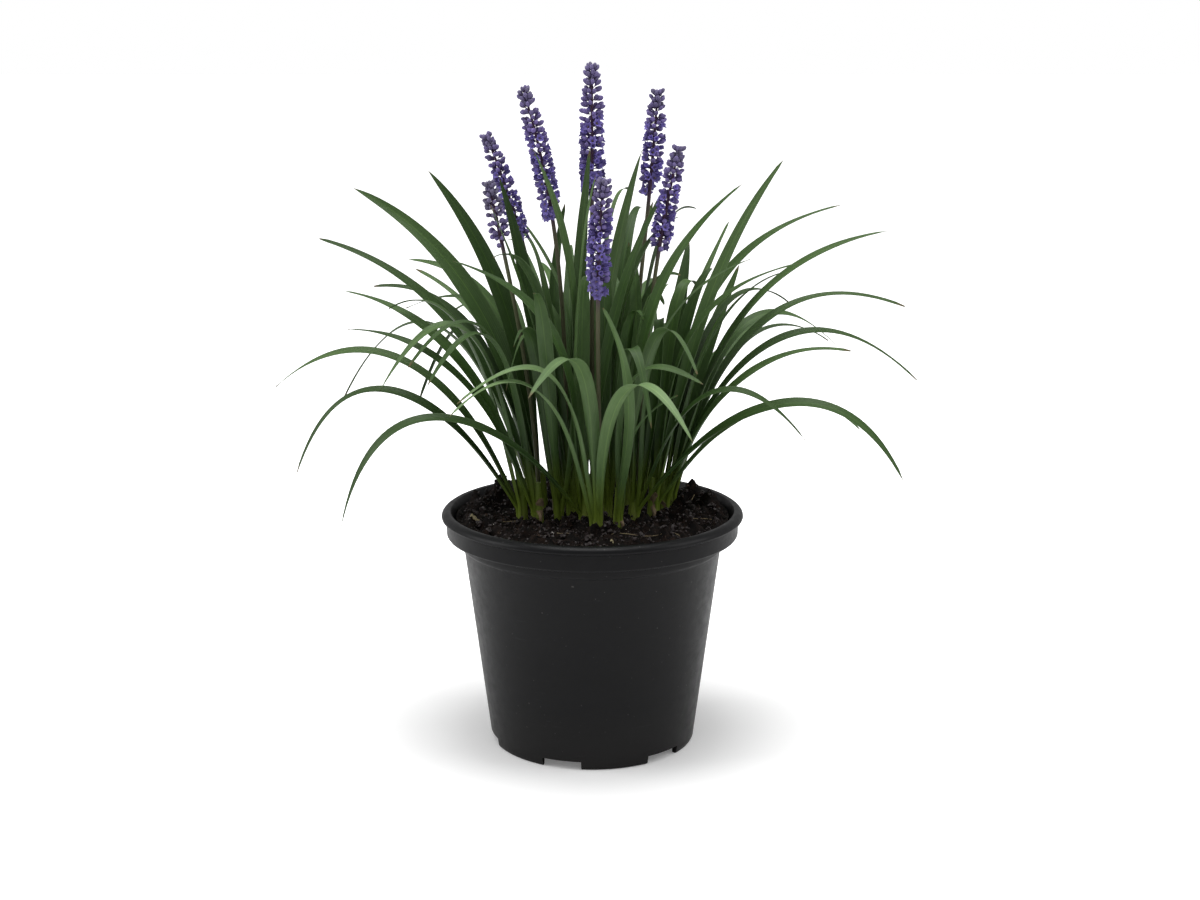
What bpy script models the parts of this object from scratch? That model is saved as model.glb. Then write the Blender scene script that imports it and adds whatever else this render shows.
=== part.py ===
"""Liriope: a lilyturf clump with violet flower spikes, in its black nursery pot.

Units are metres and +Z is up. The origin is the middle of the pot's underside.
"""
import math
import random

import bmesh
import bpy
from mathutils import Vector
from mathutils.bvhtree import BVHTree

MM = 0.001
UP = Vector((0.0, 0.0, 1.0))
GAP = 0.0003

# Pot, a 190 mm wide and 150 mm high moulded nursery pot
POT_HEIGHT = 0.150
LIP_RADIUS = 0.095
LIP_DROP = 0.0035
RIM_RADIUS = 0.0905
COLLAR_RADIUS = 0.0918
COLLAR_BOTTOM = 0.1345
NECK_RADIUS = 0.0834
STEP_HEIGHT = 0.1270
STEP_RADIUS = 0.0812
BASE_RADIUS = 0.0653
HEEL = 0.003
WALL = 0.0018
FOOT_WIDTH = 0.0028
FLOOR_UNDER = 0.0062
FLOOR_THICK = 0.0020
POT_SIDES = 36
NOTCHES = 6
NOTCH_HEIGHT = 0.0054
NOTCH_WIDTH = 0.0250
NOTCH_DEPTH = 0.014
NOTCH_TURN = math.radians(13.0)
DRAIN_RADIUS = 0.0055
DRAIN_CIRCLE = 0.0520
DRAIN_SIDES = 8
STEP_RISE = 0.0018
COLLAR_FLARE = 0.0004
EDGE = 0.0012
EDGE_HALF = 0.0006
EDGE_IN = 0.0010

# Soil, filled to a few millimetres under the lip
SOIL_LEVEL = 0.1435
SOIL_MOUND = 0.0035
SOIL_BUMP = 0.0011
SOIL_SIDES = 24
SOIL_RINGS = 4
HOLE_FLOOR = 0.1150
HOLE_PLAY = 0.0008
STALK_PLAY = 0.0020
STALK_HOLE_SHARE = 0.10

# Leafy shoots: a short sheath in the soil that the blades grow out of
SHEATH_RADIUS = 0.0042
SHEATH_TOP = 0.1640
SHEATH_TOP_RADIUS = 0.0027
BLADE_ROOT = 0.1500
BLADE_ROOT_STEP = 0.0008
BLADE_ROOT_OFFSET = 0.0011
BLADE_TURN = math.radians(137.5)
BLADE_THICK = 0.0011
BLADE_THIN = 0.62
BLADE_CLEAR = 0.0010
ROOT_WIDTH = 0.66
FULL_SHARE = 0.45
TIP_SHARE = 0.38
TIP_POWER = 0.6
LEAST_HALF = 0.0004
LOWEST_BEND = 0.35
HIGHEST_BEND = 0.65
ARCH_ANGLE = math.radians(65.0)
STEEP_TWIST = 55.0
BLADE_STEPS = 6
ARCH_STEPS = 9
SHEATH_SIDES = 6
RISE = 0.62
TUFT_TOP = 0.200
BACK_REACH = 0.119
PART_ROUNDS = 90
PART_STEP = 0.0009
PART_ACROSS = 0.3
PART_UP = 0.1
CURVE_STEPS = 40

# How far a fan's blade may stray from an even fan, and how it arches over
FAN_STRAY = 8.0
FAN_BEND = (0.42, 0.52)
FAN_DROP = (-0.035, -0.015)
FAN_WIDTH = (7.5, 10.0)
FAN_TWIST = 30.0
ARCH_BELOW = 0.300
ARCH_RISE = 0.75

# Flower spikes
STALK_RADIUS = 0.0015
RACHIS_RADIUS = 0.0014
STALK_STEPS = 8
STALK_SIDES = 5
WHORL_SPACING = 0.0058
BUDS_PER_WHORL = 4
BUD_WIDTH = 0.0070
BUD_ROOT = 0.0004
BUD_WAIST = 0.62
BUD_NARROW = 0.35
BUD_LIFT = 0.35
BUD_LIFT_MORE = 0.75
TOP_BUD = 0.0085
TOP_BUD_SUNK = 0.3
TOP_BUD_WIDTH = 0.45
TOP_WHORLS = 0.8
HEAD_TAPER = 0.50
HEAD_POWER = 7.0
WHORL_START = 0.35
RACHIS_SHORT = 0.02
RACHIS_TAPER = 0.65
RACHIS_STEPS = 5
WHORL_TURN = 0.11

# Where each shoot stands in the soil, in millimetres, with its leaf colour
SHOOTS = {
    "shoot_01": (-44, 1, "mid"),
    "shoot_02": (-34, -8, "deep"),
    "shoot_03": (-21, -3, "mid"),
    "shoot_04": (-4, -13, "deep"),
    "shoot_05": (3, -27, "pale"),
    "shoot_06": (16, -21, "mid"),
    "shoot_07": (26, -4, "deep"),
    "shoot_08": (38, 6, "mid"),
    "shoot_09": (45, 18, "deep"),
    "shoot_10": (51, 30, "mid"),
    "shoot_11": (-8, 24, "mid"),
    "shoot_12": (-32, 21, "deep"),
    "shoot_13": (-17, 42, "mid"),
    "shoot_14": (8, 47, "deep"),
    "shoot_15": (31, 42, "mid"),
    "shoot_16": (9, 8, "deep"),
    "shoot_17": (-12, 5, "mid"),
    "shoot_18": (22, 27, "deep"),
    "shoot_19": (-38, 37, "mid"),
}

# The leaves that the front view tells apart: shoot, the point where the blade
# bends over, its tip, its width, all in millimetres, and its twist in degrees
LEAVES = [
    ("shoot_01", (-117, 2, 222), (-187, 6, 170), 7.5, 25),
    ("shoot_01", (-112, 12, 238), (-200, 18, 224), 7.5, 25),
    ("shoot_02", (-87, 6, 253), (-154, 12, 286), 8.0, 30),
    ("shoot_02", (-92, 16, 270), (-169, 30, 317), 9.0, 30),
    ("shoot_02", (-80, -12, 238), (-147, -16, 265), 7.0, 25),
    ("shoot_12", (-76, 32, 279), (-151, 50, 346), 13.0, 60),
    ("shoot_12", (-55, 24, 275), (-102, 26, 359), 12.0, 65),
    ("shoot_04", (-74, -38, 212), (-152, -48, 149), 8.0, 25),
    ("shoot_04", (-24, -22, 268), (-83, -22, 309), 8.5, 35),
    ("shoot_13", (-62, 50, 268), (-120, 66, 267), 6.0, 20),
    ("shoot_12", (-60, 50, 242), (-114, 84, 291), 6.0, 20),
    ("shoot_12", (-62, 36, 237), (-101, 62, 274), 6.0, 20),
    ("shoot_05", (-28, -40, 244), (-79, -62, 229), 8.0, 20),
    ("shoot_05", (-37, -46, 236), (-82, -80, 225), 6.5, 10),
    ("shoot_05", (-8, -62, 252), (-35, -119, 243), 10.5, 0),
    ("shoot_05", (26, -62, 238), (59, -119, 218), 10.5, 0),
    ("shoot_06", (29, -45, 243), (65, -70, 242), 9.0, -20),
    ("shoot_06", (24, -36, 206), (50, -48, 231), 7.0, -20),
    ("shoot_06", (19, -48, 224), (5, -66, 286), 7.5, 20),
    ("shoot_07", (40, -22, 262), (93, -44, 312), 7.0, -20),
    ("shoot_03", (-18, -20, 254), (1, -23, 358), 9.0, -50),
    ("shoot_17", (-32, -8, 258), (-60, -29, 342), 8.0, 40),
    ("shoot_17", (-28, 4, 264), (-55, -4, 356), 12.0, 65),
    ("shoot_17", (-10, -6, 282), (-34, -15, 374), 11.0, 65),
    ("shoot_13", (-14, 34, 264), (-43, 34, 327), 6.0, 40),
    ("shoot_11", (-6, 4, 281), (1, -13, 375), 9.0, 0),
    ("shoot_11", (-19, 34, 258), (-17, 46, 336), 8.0, 30),
    ("shoot_11", (7, 18, 279), (30, 6, 372), 12.0, -65),
    ("shoot_04", (12, -12, 274), (46, 4, 348), 7.0, -40),
    ("shoot_16", (22, 10, 261), (42, 30, 340), 8.0, -50),
    ("shoot_16", (19, 20, 241), (24, 36, 313), 11.0, -30),
    ("shoot_07", (38, -14, 280), (90, -18, 354), 9.0, -50),
    ("shoot_08", (67, 8, 277), (116, 8, 366), 9.0, -50),
    ("shoot_08", (50, 22, 250), (63, 50, 313), 12.0, -30),
    ("shoot_15", (57, 60, 254), (89, 84, 323), 6.0, -20),
    ("shoot_09", (77, 20, 286), (155, 22, 338), 7.5, -35),
    ("shoot_10", (95, 14, 272), (180, 4, 324), 8.0, -30),
    ("shoot_08", (66, -8, 270), (126, -14, 306), 6.5, -30),
    ("shoot_10", (73, 34, 244), (94, 50, 297), 10.0, -50),
    ("shoot_15", (79, 68, 231), (125, 94, 262), 9.0, -30),
    ("shoot_10", (102, 36, 257), (199, 40, 272), 7.5, -25),
    ("shoot_09", (103, 22, 245), (204, 12, 229), 7.5, -25),
    ("shoot_09", (91, 10, 229), (159, -6, 251), 8.0, -25),
    ("shoot_08", (101, 12, 210), (170, 20, 196), 6.5, -25),
    ("shoot_07", (105, -32, 220), (185, -58, 181), 8.5, -30),
    ("shoot_07", (73, -28, 229), (129, -42, 203), 6.5, -25),
]

# The leaves of the back and the middle: shoot, how many, the heading of the
# fan in degrees from +X, its spread, and the reach and tip height ranges in mm
FANS = [
    ("shoot_13", 4, 112, 60, (70, 105), (215, 310)),
    ("shoot_14", 5, 90, 80, (55, 72), (225, 330)),
    ("shoot_15", 3, 62, 50, (60, 85), (215, 300)),
    ("shoot_19", 5, 145, 75, (70, 125), (190, 300)),
    ("shoot_18", 4, 70, 90, (50, 85), (270, 335)),
    ("shoot_10", 2, 25, 30, (85, 120), (205, 260)),
    ("shoot_12", 2, 165, 40, (80, 120), (230, 300)),
    ("shoot_01", 2, 185, 40, (60, 110), (225, 290)),
    ("shoot_02", 2, 215, 40, (50, 95), (200, 280)),
    ("shoot_03", 3, 235, 70, (30, 65), (230, 300)),
    ("shoot_16", 4, 330, 150, (20, 55), (250, 330)),
    ("shoot_17", 2, 180, 90, (35, 60), (270, 330)),
    ("shoot_06", 2, 300, 50, (50, 80), (215, 280)),
    ("shoot_09", 2, 0, 40, (70, 110), (240, 300)),
    ("shoot_04", 1, 80, 40, (14, 34), (245, 315)),
    ("shoot_11", 3, 90, 160, (20, 45), (270, 345)),
    ("shoot_07", 3, 60, 90, (18, 45), (240, 315)),
    ("shoot_08", 2, 40, 60, (30, 60), (240, 310)),
]

# Spikes: where the stalk stands, a point half way up, the tip, all in
# millimetres, the length of the flower head and its radius
SPIKES = {
    "1": ((0, 2), (0, 3, 287), (0, 3, 421), 76, 8.2),
    "2": ((6, -14), (4, -28, 224), (7, -46, 356), 72, 7.4),
    "3": ((-17, 15), (-19, 7, 281), (-41, 0, 408), 77, 7.2),
    "4": ((19, 17), (29, 19, 279), (40, 21, 406), 61, 7.2),
    "5": ((29, 14), (36, 4, 275), (52, -8, 374), 60, 7.0),
    "6": ((-24, 11), (-34, 14, 273), (-65, 16, 381), 66, 6.4),
    "7": ((-33, 8), (-45, 0, 263), (-62, -13, 354), 38, 6.0),
}

COLOURS = {
    "pot": ((0.020, 0.020, 0.022), 0.55),
    "soil": ((0.017, 0.013, 0.010), 0.95),
    "mid": ((0.085, 0.165, 0.055), 0.50),
    "deep": ((0.045, 0.105, 0.030), 0.50),
    "pale": ((0.150, 0.240, 0.110), 0.50),
    "stalk": ((0.090, 0.105, 0.045), 0.55),
    "violet": ((0.130, 0.105, 0.310), 0.60),
}


def clear_scene():
    """Removes everything that a new file holds."""
    for item in list(bpy.data.objects):
        bpy.data.objects.remove(item, do_unlink=True)


def material(name):
    """The Principled material of one colour of the part."""
    found = bpy.data.materials.get(name)
    if found:
        return found
    colour, roughness = COLOURS[name]
    made = bpy.data.materials.new(name)
    made.use_nodes = True
    shader = made.node_tree.nodes["Principled BSDF"]
    shader.inputs["Base Color"].default_value = (*colour, 1.0)
    shader.inputs["Roughness"].default_value = roughness
    shader.inputs["Metallic"].default_value = 0.0
    made.diffuse_color = (*colour, 1.0)
    return made


def add_object(name, points, faces, colour):
    """A mesh object from points and faces, with its normals facing out."""
    mesh = bpy.data.meshes.new(name)
    mesh.from_pydata([tuple(p) for p in points], [], faces)
    shape = bmesh.new()
    shape.from_mesh(mesh)
    bmesh.ops.recalc_face_normals(shape, faces=shape.faces)
    shape.to_mesh(mesh)
    shape.free()
    mesh.materials.append(material(colour))
    made = bpy.data.objects.new(name, mesh)
    bpy.context.scene.collection.objects.link(made)
    return made


def combine(target, pieces, operation):
    """Joins pieces to target, or cuts them from it, and removes the pieces."""
    group = bpy.data.collections.new(target.name + "_pieces")
    bpy.context.scene.collection.children.link(group)
    for piece in pieces:
        bpy.context.scene.collection.objects.unlink(piece)
        group.objects.link(piece)
    step = target.modifiers.new("combine", "BOOLEAN")
    step.operand_type = "COLLECTION"
    step.collection = group
    step.operation = operation
    step.solver = "EXACT"
    bpy.context.view_layer.update()
    depsgraph = bpy.context.evaluated_depsgraph_get()
    result = bpy.data.meshes.new_from_object(target.evaluated_get(depsgraph))
    target.modifiers.clear()
    target.data = result
    for piece in list(group.objects):
        bpy.data.objects.remove(piece, do_unlink=True)
    bpy.data.collections.remove(group)


def signed_volume(faces):
    """The volume inside faces, below zero where they face inwards."""
    total = 0.0
    for face in faces:
        first = face.verts[0].co
        for one, two in zip(face.verts[1:], face.verts[2:]):
            total += first.dot(one.co.cross(two.co)) / 6.0
    return total


def keep_body(shape):
    """Fills the hollows that a union seals, and drops its loose scraps."""
    body = bmesh.new()
    body.from_mesh(shape.data)
    groups = []
    seen = set()
    for start in body.faces:
        if start in seen:
            continue
        seen.add(start)
        group = [start]
        for face in group:
            for edge in face.edges:
                for other in edge.link_faces:
                    if other not in seen:
                        seen.add(other)
                        group.append(other)
        groups.append(group)
    groups.sort(key=signed_volume)
    for group in groups[:-1]:
        bmesh.ops.delete(body, geom=group, context="FACES")
    body.to_mesh(shape.data)
    body.free()


def smooth(shape, angle):
    """Shades a round piece smooth, with its sharp edges kept."""
    for face in shape.data.polygons:
        face.use_smooth = True
    shape.data.set_sharp_from_angle(angle=math.radians(angle))


def turned(name, outline, sides, colour):
    """A body turned about +Z from an outline of (radius, height) pairs."""
    shape = bmesh.new()
    corners = [shape.verts.new((radius, 0.0, height)) for radius, height in outline]
    edges = [shape.edges.new(pair) for pair in zip(corners, corners[1:])]
    bmesh.ops.spin(shape, geom=corners + edges, axis=UP, cent=(0.0, 0.0, 0.0),
                   angle=2.0 * math.pi, steps=sides, use_merge=True)
    bmesh.ops.remove_doubles(shape, verts=shape.verts, dist=1e-6)
    bmesh.ops.recalc_face_normals(shape, faces=shape.faces)
    mesh = bpy.data.meshes.new(name)
    shape.to_mesh(mesh)
    shape.free()
    mesh.materials.append(material(colour))
    made = bpy.data.objects.new(name, mesh)
    bpy.context.scene.collection.objects.link(made)
    return made


def box(size, centre, turn):
    """A plain block, used as a cutter."""
    shape = bmesh.new()
    bmesh.ops.create_cube(shape, size=1.0)
    bmesh.ops.scale(shape, vec=size, verts=shape.verts)
    mesh = bpy.data.meshes.new("block")
    shape.to_mesh(mesh)
    shape.free()
    made = bpy.data.objects.new("block", mesh)
    made.location = centre
    made.rotation_euler = (0.0, 0.0, turn)
    bpy.context.scene.collection.objects.link(made)
    return made


def post(radius, bottom, top, x, y, sides):
    """An upright round cutter."""
    shape = bmesh.new()
    bmesh.ops.create_cone(shape, cap_ends=True, segments=sides, radius1=radius,
                          radius2=radius, depth=top - bottom)
    mesh = bpy.data.meshes.new("post")
    shape.to_mesh(mesh)
    shape.free()
    made = bpy.data.objects.new("post", mesh)
    made.location = (x, y, (top + bottom) / 2.0)
    bpy.context.scene.collection.objects.link(made)
    return made


def inner_radius(height):
    """The radius of the pot's inside wall at a height."""
    if height > STEP_HEIGHT:
        share = (height - STEP_HEIGHT) / (POT_HEIGHT - STEP_HEIGHT)
        return STEP_RADIUS - WALL + share * (RIM_RADIUS - STEP_RADIUS)
    share = (height - HEEL) / (STEP_HEIGHT - HEEL)
    return BASE_RADIUS - WALL + share * (STEP_RADIUS - BASE_RADIUS)


def make_pot():
    """The pot, with its lip, collar, raised floor, foot notches and drains."""
    floor_top = FLOOR_UNDER + FLOOR_THICK
    outline = [
        (0.0, FLOOR_UNDER),
        (BASE_RADIUS - FOOT_WIDTH - EDGE_IN, FLOOR_UNDER),
        (BASE_RADIUS - FOOT_WIDTH - EDGE_IN, 0.0),
        (BASE_RADIUS - EDGE_IN, 0.0),
        (BASE_RADIUS, HEEL),
        (STEP_RADIUS, STEP_HEIGHT),
        (NECK_RADIUS, STEP_HEIGHT + STEP_RISE),
        (NECK_RADIUS + COLLAR_FLARE, COLLAR_BOTTOM - EDGE),
        (COLLAR_RADIUS - EDGE, COLLAR_BOTTOM - EDGE_HALF),
        (COLLAR_RADIUS, COLLAR_BOTTOM + EDGE_HALF),
        (COLLAR_RADIUS, POT_HEIGHT - LIP_DROP - EDGE - EDGE_HALF),
        (LIP_RADIUS - EDGE_HALF, POT_HEIGHT - LIP_DROP - EDGE),
        (LIP_RADIUS, POT_HEIGHT - LIP_DROP),
        (LIP_RADIUS - EDGE, POT_HEIGHT - EDGE),
        (RIM_RADIUS + EDGE_IN, POT_HEIGHT),
        (inner_radius(POT_HEIGHT), POT_HEIGHT - EDGE_IN),
        (inner_radius(STEP_HEIGHT), STEP_HEIGHT),
        (inner_radius(floor_top), floor_top),
        (0.0, floor_top),
    ]
    pot = turned("pot", outline, POT_SIDES, "pot")
    cutters = []
    for index in range(NOTCHES):
        turn = NOTCH_TURN + index * 2.0 * math.pi / NOTCHES
        reach = Vector((math.cos(turn), math.sin(turn), 0.0))
        cutters.append(box((NOTCH_DEPTH, NOTCH_WIDTH, 2.0 * NOTCH_HEIGHT),
                           reach * BASE_RADIUS, turn))
        drain = reach * DRAIN_CIRCLE
        cutters.append(post(DRAIN_RADIUS, FLOOR_UNDER / 2.0, 2.0 * FLOOR_UNDER,
                            drain.x, drain.y, DRAIN_SIDES))
    combine(pot, cutters, "DIFFERENCE")
    smooth(pot, 35)


def soil_height(x, y):
    """The height of the soil's uneven top at a place."""
    radius = math.hypot(x, y) / RIM_RADIUS
    mound = SOIL_MOUND * (1.0 - radius * radius)
    bumps = math.sin(210.0 * x + 1.3) * math.cos(170.0 * y - 0.4)
    bumps += 0.6 * math.sin(390.0 * x - 310.0 * y)
    return SOIL_LEVEL + mound + SOIL_BUMP * bumps


def make_soil(holes):
    """The soil, with a plain hole for each shoot and stalk."""
    bottom = FLOOR_UNDER + FLOOR_THICK + GAP
    rim = inner_radius(SOIL_LEVEL) - GAP - 0.0003
    outline = [(0.0, bottom), (inner_radius(bottom) - GAP, bottom)]
    outline.append((inner_radius(STEP_HEIGHT) - GAP, STEP_HEIGHT))
    for ring in range(SOIL_RINGS, -1, -1):
        outline.append((rim * ring / SOIL_RINGS, SOIL_LEVEL))
    soil = turned("soil", outline, SOIL_SIDES, "soil")
    for corner in soil.data.vertices:
        if corner.co.z > STEP_HEIGHT + 0.001:
            corner.co.z = soil_height(corner.co.x, corner.co.y)
    cutters = []
    for x, y, radius, sides in holes:
        cutters.append(post(radius, HOLE_FLOOR, POT_HEIGHT + 0.01, x, y, sides))
    combine(soil, cutters, "DIFFERENCE")


class Blade:
    """One leaf blade: a cubic curve from root to tip, with width and twist."""

    lean = 0.35

    def __init__(self, node, root, bend, tip, width, twist):
        self.node = node
        self.width = width
        self.twist = twist
        self.fixed = False
        self.steps = BLADE_STEPS
        lower = (bend - root).length
        share = lower / (lower + (tip - bend).length)
        share = min(max(share, LOWEST_BEND), HIGHEST_BEND)
        rise = root + Vector(((bend.x - root.x) * self.lean,
                              (bend.y - root.y) * self.lean,
                              (bend.z - root.z) * RISE))
        rest = 1.0 - share
        over = bend - root * rest ** 3 - rise * (3.0 * rest ** 2 * share) - tip * share ** 3
        self.points = [root, rise, over / (3.0 * rest * share ** 2), tip]
        heading = tip - root
        heading.z = 0.0
        heading = heading.normalized() if heading.length > 1e-6 else Vector((1, 0, 0))
        self.side = Vector((-heading.y, heading.x, 0.0))
        bent = (tip - self.points[2]).angle(rise - root)
        if bent > ARCH_ANGLE or abs(twist) > STEEP_TWIST:
            self.steps = ARCH_STEPS

    @staticmethod
    def weights(share):
        """How much each of the curve's four points counts at a place on it."""
        rest = 1.0 - share
        return (rest ** 3, 3.0 * rest ** 2 * share, 3.0 * rest * share ** 2, share ** 3)

    def at(self, share):
        """A point of the curve."""
        place = Vector((0.0, 0.0, 0.0))
        for weight, point in zip(self.weights(share), self.points):
            place += point * weight
        return place

    def frame(self, share):
        """The blade's direction, its side and its upper face at a place."""
        ahead = self.at(min(share + 0.01, 1.0)) - self.at(max(share - 0.01, 0.0))
        ahead.normalize()
        side = (self.side - ahead * self.side.dot(ahead)).normalized()
        face = ahead.cross(side)
        turn = math.radians(self.twist) * min(1.0, share / FULL_SHARE)
        return ahead, side * math.cos(turn) - face * math.sin(turn), \
            face * math.cos(turn) + side * math.sin(turn)

    def half_width(self, share):
        """Half the blade's width: narrower at the root, full, then to a point."""
        widening = math.sin(min(share / FULL_SHARE, 1.0) * math.pi / 2.0)
        grow = ROOT_WIDTH + (1.0 - ROOT_WIDTH) * widening
        taper = min(1.0, (1.0 - share) / TIP_SHARE) ** TIP_POWER
        return max(self.width / 2.0 * grow * taper, LEAST_HALF)

    def shell(self, extra=0.0):
        """The blade as a closed three-sided strip, widened by extra.

        Both faces are split along the same slant, so that a twisted blade stays
        as thick as a flat one.
        """
        points = []
        faces = []
        for index in range(self.steps):
            share = index / self.steps
            centre = self.at(share)
            _, side, face = self.frame(share)
            half = self.half_width(share) + extra
            thick = BLADE_THICK * min(1.0, BLADE_THIN + (1.0 - share))
            points.append(centre - side * half + face * extra)
            points.append(centre + side * half + face * extra)
            points.append(centre - face * (thick + extra))
        points.append(self.at(1.0))
        tip = len(points) - 1
        for index in range(self.steps - 1):
            left, right, keel = range(index * 3, index * 3 + 3)
            next_left, next_right, next_keel = range(index * 3 + 3, index * 3 + 6)
            faces += [(left, next_right, right), (left, next_left, next_right)]
            faces += [(right, next_right, keel), (keel, next_right, next_keel)]
            faces += [(keel, next_keel, left), (left, next_keel, next_left)]
        faces.append((0, 1, 2))
        left, right, keel = range(tip - 3, tip)
        faces += [(left, tip, right), (right, tip, keel), (keel, tip, left)]
        return points, faces

    def push(self, share, move):
        """Moves the blade at a place, by its curve's three free points."""
        weights = self.weights(share)
        total = sum(weight * weight for weight in weights[1:])
        for index in range(1, 4):
            self.points[index] = self.points[index] + move * (weights[index] / total)


class Spike(Blade):
    """A flower stalk with its head: the same curve, with a round section."""

    lean = 0.0

    def __init__(self, label, foot, bend, tip, head_length, head_radius):
        root = Vector((foot[0] * MM, foot[1] * MM, HOLE_FLOOR + GAP))
        super().__init__("head_" + label, root, Vector(bend) * MM, Vector(tip) * MM,
                         0.0, 0.0)
        self.label = label
        self.fixed = True
        self.head_radius = head_radius * MM
        places = [self.at(index / CURVE_STEPS) for index in range(CURVE_STEPS + 1)]
        self.length = sum((two - one).length for one, two in zip(places, places[1:]))
        self.head_start = 1.0 - head_length * MM / self.length

    def reach(self, part):
        """The head's radius at a part of its height, full until near its tip."""
        return self.head_radius * (1.0 - HEAD_TAPER * part ** HEAD_POWER)

    def ring(self, share, radius, sides):
        """Points round the curve."""
        _, side, face = self.frame(share)
        centre = self.at(share)
        found = []
        for index in range(sides):
            turn = 2.0 * math.pi * index / sides
            found.append(centre + (side * math.cos(turn) + face * math.sin(turn)) * radius)
        return found

    def tube(self, start, end, radius, end_radius, sides, steps):
        """A closed round tube along a stretch of the curve."""
        points = []
        faces = []
        for index in range(steps + 1):
            part = index / steps
            share = start + (end - start) * part
            points += self.ring(share, radius + (end_radius - radius) * part, sides)
        for index in range(steps):
            low = index * sides
            for corner in range(sides):
                after = (corner + 1) % sides
                faces.append((low + corner, low + after, low + sides + after))
                faces.append((low + corner, low + sides + after, low + sides + corner))
        faces.append(tuple(reversed(range(sides))))
        faces.append(tuple(range(steps * sides, (steps + 1) * sides)))
        return points, faces

    def shell(self, extra=0.0):
        """The room that the stalk and the head need, for parting the blades."""
        points, faces = self.tube(0.0, self.head_start, STALK_RADIUS + extra,
                                  STALK_RADIUS + extra, 6, 14)
        wide = self.head_radius + extra
        more, more_faces = self.tube(self.head_start - 0.01, 1.0, wide, wide * 0.8, 8, 8)
        shift = len(points)
        points += more
        faces += [tuple(shift + corner for corner in face) for face in more_faces]
        return points, faces


def named_blades():
    """The blades of the list."""
    blades = []
    counts = {}
    for node, bend, tip, width, twist in LEAVES:
        index = counts.get(node, 0)
        counts[node] = index + 1
        blades.append(Blade(node, blade_root(node, index), Vector(bend) * MM,
                            Vector(tip) * MM, width * MM, twist))
    return blades, counts


def blade_root(node, index):
    """Where a shoot's blade of that number starts inside the sheath."""
    x, y, _ = SHOOTS[node]
    turn = index * BLADE_TURN
    offset = BLADE_ROOT_OFFSET if index else 0.0
    return Vector((x * MM + offset * math.cos(turn), y * MM + offset * math.sin(turn),
                   BLADE_ROOT + BLADE_ROOT_STEP * index))


def fan_blades(counts):
    """The blades of the fans, each drawn within its fan's ranges."""
    draw = random.Random(11)
    blades = []
    for node, number, heading, spread, reaches, heights in FANS:
        for index in range(number):
            share = (index + 0.5) / number
            stray = draw.uniform(-FAN_STRAY, FAN_STRAY)
            turn = math.radians(heading + spread * (share - 0.5) + stray)
            reach = draw.uniform(*reaches) * MM
            height = draw.uniform(*heights) * MM
            root = blade_root(node, counts.get(node, 0) + index)
            out = Vector((math.cos(turn), math.sin(turn), 0.0))
            if root.y + reach * out.y > BACK_REACH:
                reach = (BACK_REACH - root.y) / out.y
            low = max(0.0, ARCH_BELOW - height)
            bend = root + out * reach * draw.uniform(*FAN_BEND)
            bend.z = height + draw.uniform(*FAN_DROP) + low * ARCH_RISE
            tip = root + out * reach
            tip.z = height
            blades.append(Blade(node, root, bend, tip, draw.uniform(*FAN_WIDTH) * MM,
                                draw.uniform(-FAN_TWIST, FAN_TWIST)))
    return blades


def crossings(blades):
    """Pairs of blades that come too close, with the place.

    Blades of one shoot may touch low down, where they leave the sheath together.
    """
    shells = []
    for blade in blades:
        points, faces = blade.shell(BLADE_CLEAR)
        tree = BVHTree.FromPolygons(points, faces, all_triangles=False)
        lows = [min(p[axis] for p in points) for axis in range(3)]
        highs = [max(p[axis] for p in points) for axis in range(3)]
        shells.append((points, faces, tree, lows, highs))
    found = []
    for first in range(len(blades)):
        for second in range(first + 1, len(blades)):
            if blades[first].fixed and blades[second].fixed:
                continue
            one = shells[first]
            two = shells[second]
            if any(one[3][a] > two[4][a] or two[3][a] > one[4][a] for a in range(3)):
                continue
            places = []
            for face, _ in one[2].overlap(two[2]):
                corners = [Vector(one[0][corner]) for corner in one[1][face][:3]]
                places.append((corners[0] + corners[1] + corners[2]) / 3.0)
            if blades[first].node == blades[second].node:
                places = [place for place in places if place.z > TUFT_TOP]
            if places:
                centre = sum(places, Vector((0.0, 0.0, 0.0))) / len(places)
                found.append((first, second, centre))
    return found


def nearest_share(blade, place):
    """Where on its curve a blade is nearest to a place."""
    shares = [index / CURVE_STEPS for index in range(CURVE_STEPS + 1)]
    return min(shares, key=lambda share: (blade.at(share) - place).length_squared)


def part_blades(blades):
    """Bends the blades clear of each other and of the spikes, mostly in depth."""
    for _ in range(PART_ROUNDS):
        found = crossings(blades)
        if not found:
            return
        for first, second, place in found:
            one = blades[first]
            two = blades[second]
            share_one = nearest_share(one, place)
            share_two = nearest_share(two, place)
            apart = one.at(share_one) - two.at(share_two)
            apart.x *= PART_ACROSS
            apart.z *= PART_UP
            if apart.length < 1e-6:
                apart = Vector((0.0, 1.0, 0.0))
            apart.normalize()
            if not one.fixed:
                one.push(share_one, apart * PART_STEP)
            if not two.fixed:
                two.push(share_two, apart * -PART_STEP)


def make_shoot(node, blades):
    """A leafy shoot: its sheath with its blades fused to it."""
    x, y, colour = SHOOTS[node]
    sheath = turned(node, [(0.0, HOLE_FLOOR + GAP), (SHEATH_RADIUS, HOLE_FLOOR + GAP),
                           (SHEATH_RADIUS, POT_HEIGHT), (SHEATH_TOP_RADIUS, SHEATH_TOP),
                           (0.0, SHEATH_TOP)], SHEATH_SIDES, colour)
    for corner in sheath.data.vertices:
        corner.co.x += x * MM
        corner.co.y += y * MM
    pieces = []
    for blade in blades:
        points, faces = blade.shell()
        pieces.append(add_object("blade", points, faces, colour))
    combine(sheath, pieces, "UNION")
    keep_body(sheath)


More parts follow.
